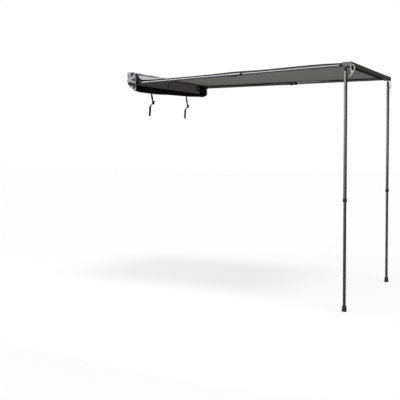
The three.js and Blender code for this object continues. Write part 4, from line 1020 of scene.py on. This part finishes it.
def crumple_cloth(mesh, held, slack, pressure, cap, stiff=0.05):
    """Moves a mesh's points to where a short simulation leaves them, each by the cap at most."""
    stage = bpy.context.scene
    trial = add_object("trial", mesh.copy())
    trial.vertex_groups.new(name="held").add(held, 1.0, "REPLACE")
    cloth = trial.modifiers.new("Cloth", "CLOTH")
    settings = cloth.settings
    settings.quality, settings.mass = CLOTH_QUALITY, CLOTH_MASS
    settings.tension_stiffness = settings.compression_stiffness = CLOTH_STRETCH
    settings.shear_stiffness, settings.bending_stiffness = CLOTH_SHEAR, stiff
    settings.shrink_min = -slack
    settings.use_pressure, settings.uniform_pressure_force = True, pressure
    settings.vertex_group_mass = "held"
    settings.effector_weights.gravity = 0.0
    cloth.collision_settings.use_collision = False
    for number in range(1, CLOTH_FRAMES + 1):
        stage.frame_set(number)
    lying = trial.evaluated_get(bpy.context.evaluated_depsgraph_get()).data
    moves = [after.co - before.co for before, after in zip(mesh.vertices, lying.vertices)]
    for vertex, move in zip(mesh.vertices, moves):
        vertex.co += move * min(1.0, cap / max(move.length, 1e-9))
    print("crumpled", len(moves), "points by up to", round(max(move.length for move in moves), 4))
    stage.frame_set(1)
    bpy.data.objects.remove(trial)


def relax(work, passes):
    for _ in range(passes):
        bmesh.ops.smooth_vert(
            work, verts=work.verts, factor=0.5, use_axis_x=True, use_axis_y=True, use_axis_z=True
        )


def mark_folds(mesh, passes, depth):
    """Stores "fold" for each point: 0 deep in a fold, 1 on a ridge."""
    work = bmesh.new()
    work.from_mesh(mesh)
    work.normal_update()
    starts = [(vertex.co.copy(), vertex.normal.copy()) for vertex in work.verts]
    relax(work, passes)
    heights = [(start - vertex.co).dot(normal) for vertex, (start, normal) in zip(work.verts, starts)]
    work.free()
    folds = mesh.attributes.new("fold", "FLOAT", "POINT")
    folds.data.foreach_set("value", [clamp(0.5 + height / depth) for height in heights])


def jag(work, size, depth):
    """Sharp little folds, as where a stiff cloth has been pushed together."""
    for vertex in work.verts:
        ridges = noise.ridged_multi_fractal(vertex.co / size, 1.0, 2.1, 2, 1.0, 2.0)
        vertex.co += vertex.normal * (depth * (ridges - 1.1))


SMOOTHER = [("SUBSURF", {"levels": 1, "render_levels": 1})]

# %% Fold the top flap behind and over the rail
ROLL_LEFT, ROLL_RIGHT, ROLL_REAR, ROLL_FRONT = -0.753, 0.715, 0.047, 0.0006
ROLL_LOW, ROLL_HIGH, ROLL_OVER, ROLL_LAP = 0.047, 0.079, rail_high.z + 0.0012, 0.036
ROLL_SIZES, ROLL_CUT = (300, 30), (1.47, 0.14)
ROLL_HELD, ROLL_SLACK, ROLL_PUFF, ROLL_CAP = 0.006, 0.05, 0.1, 0.006
ROLL_FULL, ROLL_WAVE, ROLL_WAVES, ROLL_PINCH = 0.86, 0.05, (0.095, 0.041), 0.45
LAP_FROM, LAP_LENGTH, LAP_RISE = -0.66, 0.16, 0.006
CREST_RISE, CREST_FROM, CREST_TO, CREST_SLOPES = 0.006, -0.62, 0.12, (0.15, 0.2)


def top_flap_place(u, v):
    angle = 2 * math.pi * v
    x = between(ROLL_LEFT, ROLL_RIGHT, u)
    long, short = math.sin(x / ROLL_WAVES[0] * math.pi), math.sin(x / ROLL_WAVES[1] + 2 * angle)
    swell = ROLL_FULL + ROLL_WAVE * long + ROLL_WAVE * short
    swell *= ROLL_PINCH + (1 - ROLL_PINCH) * window(u, 0, 1, 0.012, 0.06)
    middle = Vector((x, (ROLL_REAR + ROLL_FRONT) / 2, (ROLL_HIGH + ROLL_LOW) / 2))
    deep, high = (ROLL_REAR - ROLL_FRONT) / 2, (ROLL_HIGH - ROLL_LOW) / 2
    place = middle + Vector((0, deep * math.cos(angle) * swell, high * math.sin(angle) * swell))
    crest = window(x, CREST_FROM, CREST_TO, *CREST_SLOPES)
    place.z += CREST_RISE * crest * max(0.0, math.sin(angle))
    near = 1 - smooth_step((x - LAP_FROM) / LAP_LENGTH)
    place.y -= ROLL_LAP * (near * smooth_step((place.z - ROLL_OVER) / LAP_RISE))
    return place


work = warped_grid(ROLL_SIZES, top_flap_place, ROLL_CUT)
bmesh.ops.remove_doubles(work, verts=work.verts, dist=1e-6)
bmesh.ops.holes_fill(work, edges=[edge for edge in work.edges if edge.is_boundary])
bmesh.ops.recalc_face_normals(work, faces=work.faces)
jag(work, 0.045, 0.003)
top_flap = make_piece("top_flap", work, *bag_inside, "rail", SMOOTHER)
fastened = [vertex.index for vertex in top_flap.data.vertices if vertex.co.z < ROLL_LOW + ROLL_HELD]
crumple_cloth(top_flap.data, fastened, ROLL_SLACK, ROLL_PUFF, ROLL_CAP)
for vertex in top_flap.data.vertices:
    clear = ROLL_FRONT if vertex.co.z < ROLL_OVER else -1.0
    vertex.co.y = clamp(vertex.co.y, clear, ROLL_REAR + 0.002)
mark_folds(top_flap.data, 12, 0.006)
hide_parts("bag_top_flap")

# %% Crumple the near end
lump_low, lump_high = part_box("bag_near_end")
lump_middle, lump_half = (lump_low + lump_high) / 2, (lump_high - lump_low) / 2
LUMP_CUTS, LUMP_FRONT_LOW, LUMP_REAR_LOW = 22, -0.093, -0.034
LUMP_HELD, LUMP_SLACK, LUMP_PUFF, LUMP_CAP, LUMP_STIFF = 0.003, 0.1, -0.1, 0.008, 2.0
LUMP_SAG, LUMP_WAVES, LUMP_ROUNDS = 0.12, (3.1, 2.2), 6
BINDING = [
    (-0.7565, -0.0445, 0.074), (-0.7545, -0.0485, 0.06), (-0.756, -0.0475, 0.03), (-0.7545, -0.0485, 0),
    (-0.756, -0.0475, -0.03), (-0.7545, -0.0475, -0.06), (-0.757, -0.044, -0.088), (-0.7585, -0.03, -0.088),
]
BINDING_RADIUS = 0.0036

work = bmesh.new()
bmesh.ops.create_cube(work, size=2.0)
bmesh.ops.subdivide_edges(work, edges=work.edges[:], cuts=LUMP_CUTS, use_grid_fill=True)
relax(work, LUMP_ROUNDS)
for vertex in work.verts:
    unit = vertex.co.copy()
    low = between(LUMP_FRONT_LOW, LUMP_REAR_LOW, (unit.y + 1) / 2)
    wave = math.sin(LUMP_WAVES[0] * unit.z + LUMP_WAVES[1] * unit.y)
    sag = LUMP_SAG * wave * (1 - abs(unit.x))
    vertex.co = lump_middle + Vector((unit.x * lump_half.x, (unit.y + sag) * lump_half.y, 0))
    vertex.co.z = between(low, lump_high.z, (unit.z + 1) / 2)
work.normal_update()
jag(work, 0.055, 0.009)
for vertex in work.verts:
    vertex.co.x = min(vertex.co.x, lump_high.x)
near_end = make_piece("bag_end_near", work, *bag_inside, "rail", SMOOTHER)
fastened = [vertex.index for vertex in near_end.data.vertices if vertex.co.x > lump_high.x - LUMP_HELD]
crumple_cloth(near_end.data, fastened, LUMP_SLACK, LUMP_PUFF, LUMP_CAP, LUMP_STIFF)
for vertex in near_end.data.vertices:
    vertex.co.x = min(vertex.co.x, lump_high.x)
mark_folds(near_end.data, 20, 0.007)
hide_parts("bag_near_end")
path = spaced_path(BINDING, PIPING_STEP)
make_tube("near_end_binding", path, BINDING_RADIUS, ROUND, *bag_tape, "rail")

# %% [markdown]
# ## The straps
#
# Two webbing straps close the bag. Each is sewn to the flap, hangs down and goes through the two slots of
# its buckle, so that the buckle's bar holds it.

# %% Sew the straps
STRAP_PLACES = {"near": -0.453, "far": 0.275}
STRAP_TOP, STRAP_END, BUCKLE_Z = -0.044, -0.312, -0.182
STRAP_WIDTH, STRAP_THICKNESS, SEWN_GAP, STRAP_TWIST = 0.0245, 0.0016, 0.0009, 0.32
SLOT_REACH, SLOT_BEND, BUCKLE_DEPTH = 0.0077, 0.0022, 0.0105
RIBS, RIB_RELIEF = 8, 0.00012
FREE_FROM, DRIFT_OUT, DRIFT_BACK, DRIFT_MORE = -0.084, 0.024, 0.044, 0.014
BACK_LENGTH, TWIST_CLEAR, TWIST_EASE, TWIST_BELOW = 0.045, 0.02, 0.03, -0.1


def strap_x(x, z):
    """It drifts to one side down to the buckle, back below it and on to its end."""
    out = smooth_step((FREE_FROM - z) / (FREE_FROM - BUCKLE_Z))
    back = smooth_step((BUCKLE_Z - z) / BACK_LENGTH)
    to_end = max(0.0, (BUCKLE_Z - z) / (BUCKLE_Z - STRAP_END))
    return x + DRIFT_OUT * out - DRIFT_BACK * back - DRIFT_MORE * to_end


def strap_y(x, z):
    """Against the flap, then straight down, and in front of the buckle's bar between its slots."""
    sewn = flap_front(x, max(z, rail_low.z - flap_drop(x))) - BAG_THICKNESS / 2 - SEWN_GAP
    before_bar = smooth_step((SLOT_REACH + SLOT_BEND / 2 - abs(z - BUCKLE_Z)) / SLOT_BEND)
    return sewn - STRAP_THICKNESS / 2 - BUCKLE_DEPTH * before_bar


def strap_place(x, u, v):
    z = between(STRAP_TOP, STRAP_END, v)
    ribs = RIB_RELIEF * math.cos(u * RIBS * 2 * math.pi)
    away = clamp((abs(z - BUCKLE_Z) - TWIST_CLEAR) / TWIST_EASE)
    turn = STRAP_TWIST * away * smooth_step((TWIST_BELOW - z) / TWIST_EASE)
    side = (u - 0.5) * STRAP_WIDTH
    middle = Vector((strap_x(x, z), strap_y(x, z) + ribs, z))
    return middle + Vector((side * math.cos(turn), -side * math.sin(turn), 0))


def box_seam(x):
    """The stitches of a strap's end: a square with a cross in it."""
    half, top, low = STRAP_WIDTH / 2 - 0.003, STRAP_TOP - 0.004, STRAP_TOP - 0.026
    y = strap_y(x, (top + low) / 2) - STRAP_THICKNESS / 2 - THREAD_RADIUS / 2
    corners = [(x - half, y, top), (x + half, y, top), (x + half, y, low), (x - half, y, low)]
    lines = list(zip(corners, corners[1:] + corners[:1]))
    return lines + [(corners[0], corners[2]), (corners[1], corners[3])]


for name, x in STRAP_PLACES.items():
    strap = make_sheet(
        f"{name}_strap", (32, 240), lambda u, v: strap_place(x, u, v), (STRAP_WIDTH, STRAP_TOP - STRAP_END),
        webbing, "webbing", "rail", [shell(STRAP_THICKNESS)],
    )
    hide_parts(f"{name}_bag_strap")
    sew(f"{name}_strap_seam", box_seam(x), "webbing", "rail")

# %% [markdown]
# ## Small trims
#
# Under each arm's sleeve a black spring clip grips the sleeve from below, and keeps its halves together
# while its nut is loose. A small clip on the rail's face holds the flap when the awning is packed.

# %% Clip the sleeves
GRIP_INNER, GRIP_THICKNESS, GRIP_FLARE = 0.0147, 0.0022, 0.002
GRIP_FROM, GRIP_TO, GRIP_ROUNDING = math.radians(188), math.radians(352), 0.0007
GRIPS = {"near": (-0.996, -1.03), "far": (-1.014, -1.048)}


def grip_place(side, u, v):
    """A point of the plate, round the line from the arm's hinge to the middle of its tip."""
    y = between(*GRIPS[side], v)
    hinge = Vector(joints[f"{side}_arm_swing"]["pos_m"])
    tip = sum(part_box(f"{side}_arm_tip"), Vector()) / 2
    middle = between(hinge, tip, (y - hinge.y) / (tip.y - hinge.y))
    angle = between(GRIP_FROM, GRIP_TO, u)
    radius = GRIP_INNER + GRIP_THICKNESS / 2 + GRIP_FLARE * abs(2 * u - 1) ** 12
    return Vector((middle.x + radius * math.cos(angle), y, middle.z + radius * math.sin(angle)))


rounded = ("BEVEL", {"width": GRIP_ROUNDING, "segments": 2, "angle_limit": FACET_ANGLE})
for side in GRIPS:
    make_sheet(
        f"{side}_sleeve_clip", (48, 6), lambda u, v: grip_place(side, u, v), (1.0, 1.0),
        *moulding, f"{side}_arm", [shell(GRIP_THICKNESS), rounded],
    )

# %% Fix the clip to the rail
CLIP_X, CLIP_LOW = -0.13, -0.012
CLIP_FOOT, CLIP_FOOT_OUT = (0.022, 0.0032, 0.01, 1), 0.0016
CLIP_STEM = ((0.0022, CLIP_LOW), (0.004, 0.002), (0.0062, 0.012), (0.0052, 0.019))
CLIP_ROUNDING, STEM_RADIUS, STEM_STEP = 0.0012, 0.0024, 0.002

work = bmesh.new()
foot = Matrix.Translation((CLIP_X, RAIL_FACE - CLIP_FOOT_OUT, CLIP_LOW)) @ Matrix.Diagonal(CLIP_FOOT)
bmesh.ops.create_cube(work, size=1.0, matrix=foot)
bmesh.ops.bevel(
    work, geom=work.edges[:], offset=CLIP_ROUNDING, segments=3, profile=0.5, affect="EDGES", material=-1
)
stem = [(CLIP_X, RAIL_FACE - out, z) for out, z in CLIP_STEM]
add_tube(work, spaced_path(stem, STEM_STEP), STEM_RADIUS, ROUND)
bmesh.ops.recalc_face_normals(work, faces=work.faces)
make_piece("rail_clip", work, *moulding, "rail")

# %% [markdown]
# ## The floor and the light
#
# The part stands on a pale floor in a white room, lit from all sides. A metal tube only shows what it
# mirrors, so for mirrored light alone the room is brighter to the left, and the tubes get a bright side
# and a dark side.

# %% Lay the floor
FLOOR_SIZE, FLOOR_GLOW = 60.0, 0.42
FLOOR_BASE, FLOOR_MIRRORED = (0.62, 0.62, 0.62, 1.0), (0.06, 0.06, 0.063, 1.0)
WHITE = (1, 1, 1, 1)

work = bmesh.new()
bmesh.ops.create_grid(work, x_segments=2, y_segments=2, size=FLOOR_SIZE / 2)
mesh = bpy.data.meshes.new("floor")
work.to_mesh(mesh)
work.free()
mesh.transform(Matrix.Translation((0, 0, ground)))
add_object("floor", mesh)
paint = Finish("floor_paint", 0.9, Specular_IOR_Level=0.0, Emission_Color=WHITE)
ray = paint.add("ShaderNodeLightPath").outputs
paint.give("Base Color", paint.mix(ray["Is Glossy Ray"], FLOOR_BASE, FLOOR_MIRRORED))
paint.give("Emission Strength", paint.multiply(ray["Is Camera Ray"], FLOOR_GLOW))
mesh.materials.append(paint.material)
print("floor at", round(ground, 3))

# %% Light the room
ROOM_LIGHT, WALL_SIDE = 0.72, Vector((-0.88, 0.44, -0.08))
SUN_STRENGTH, SUN_SOFTNESS, SUN_FROM = 0.7, math.radians(22), Vector((-0.35, -0.75, 1.6))
LAMP_PLACE, LAMP_TARGET = Vector((-3.0, -0.3, -1.0)), Vector((0, -0.7, 0))
LAMP_POWER, LAMP_SIZE = 36.0, 1.6

world = bpy.data.worlds.new("room")
bpy.context.scene.world = world
world.use_nodes = True
sky = Net(world.node_tree)
ray = sky.add("ShaderNodeLightPath").outputs
looking = sky.add("ShaderNodeTexCoord").outputs["Generated"]


def facing(way):
    return sky.vector("DOT_PRODUCT", {0: looking, 1: way}, "Value")


left = sky.remap(facing(leftward), 0.05, 0.3, 0.04, 1.3, smooth=True)
above = sky.remap(sky.split(looking)["Z"], -0.06, 0.08, 0.35, 1.0, smooth=True)
dark_wall = sky.remap(facing(WALL_SIDE.normalized()), 0.91, 0.96, 1.0, 0.1, smooth=True)
mirrored = sky.multiply(sky.multiply(left, above), dark_wall)
plain = sky.mix(ray["Is Glossy Ray"], (ROOM_LIGHT,) * 3 + (1,), mirrored)
sky.feed(sky.tree.nodes["Background"].inputs["Color"], sky.mix(ray["Is Camera Ray"], plain, WHITE))


def add_light(name, kind, strength, way):
    """A light that shines from the given way."""
    light = add_object(name, bpy.data.lights.new(name, kind))
    light.data.energy = strength
    light.rotation_euler = way.to_track_quat("Z", "Y").to_euler()
    return light


lamp = add_light("side_lamp", "AREA", LAMP_POWER, LAMP_PLACE - LAMP_TARGET)
lamp.data.size, lamp.location, lamp.visible_glossy = LAMP_SIZE, LAMP_PLACE, False
add_light("sun", "SUN", SUN_STRENGTH, SUN_FROM).data.angle = SUN_SOFTNESS
bpy.context.scene.view_settings.view_transform = "Standard"
print("lights:", ", ".join(bpy.data.lights.keys()))
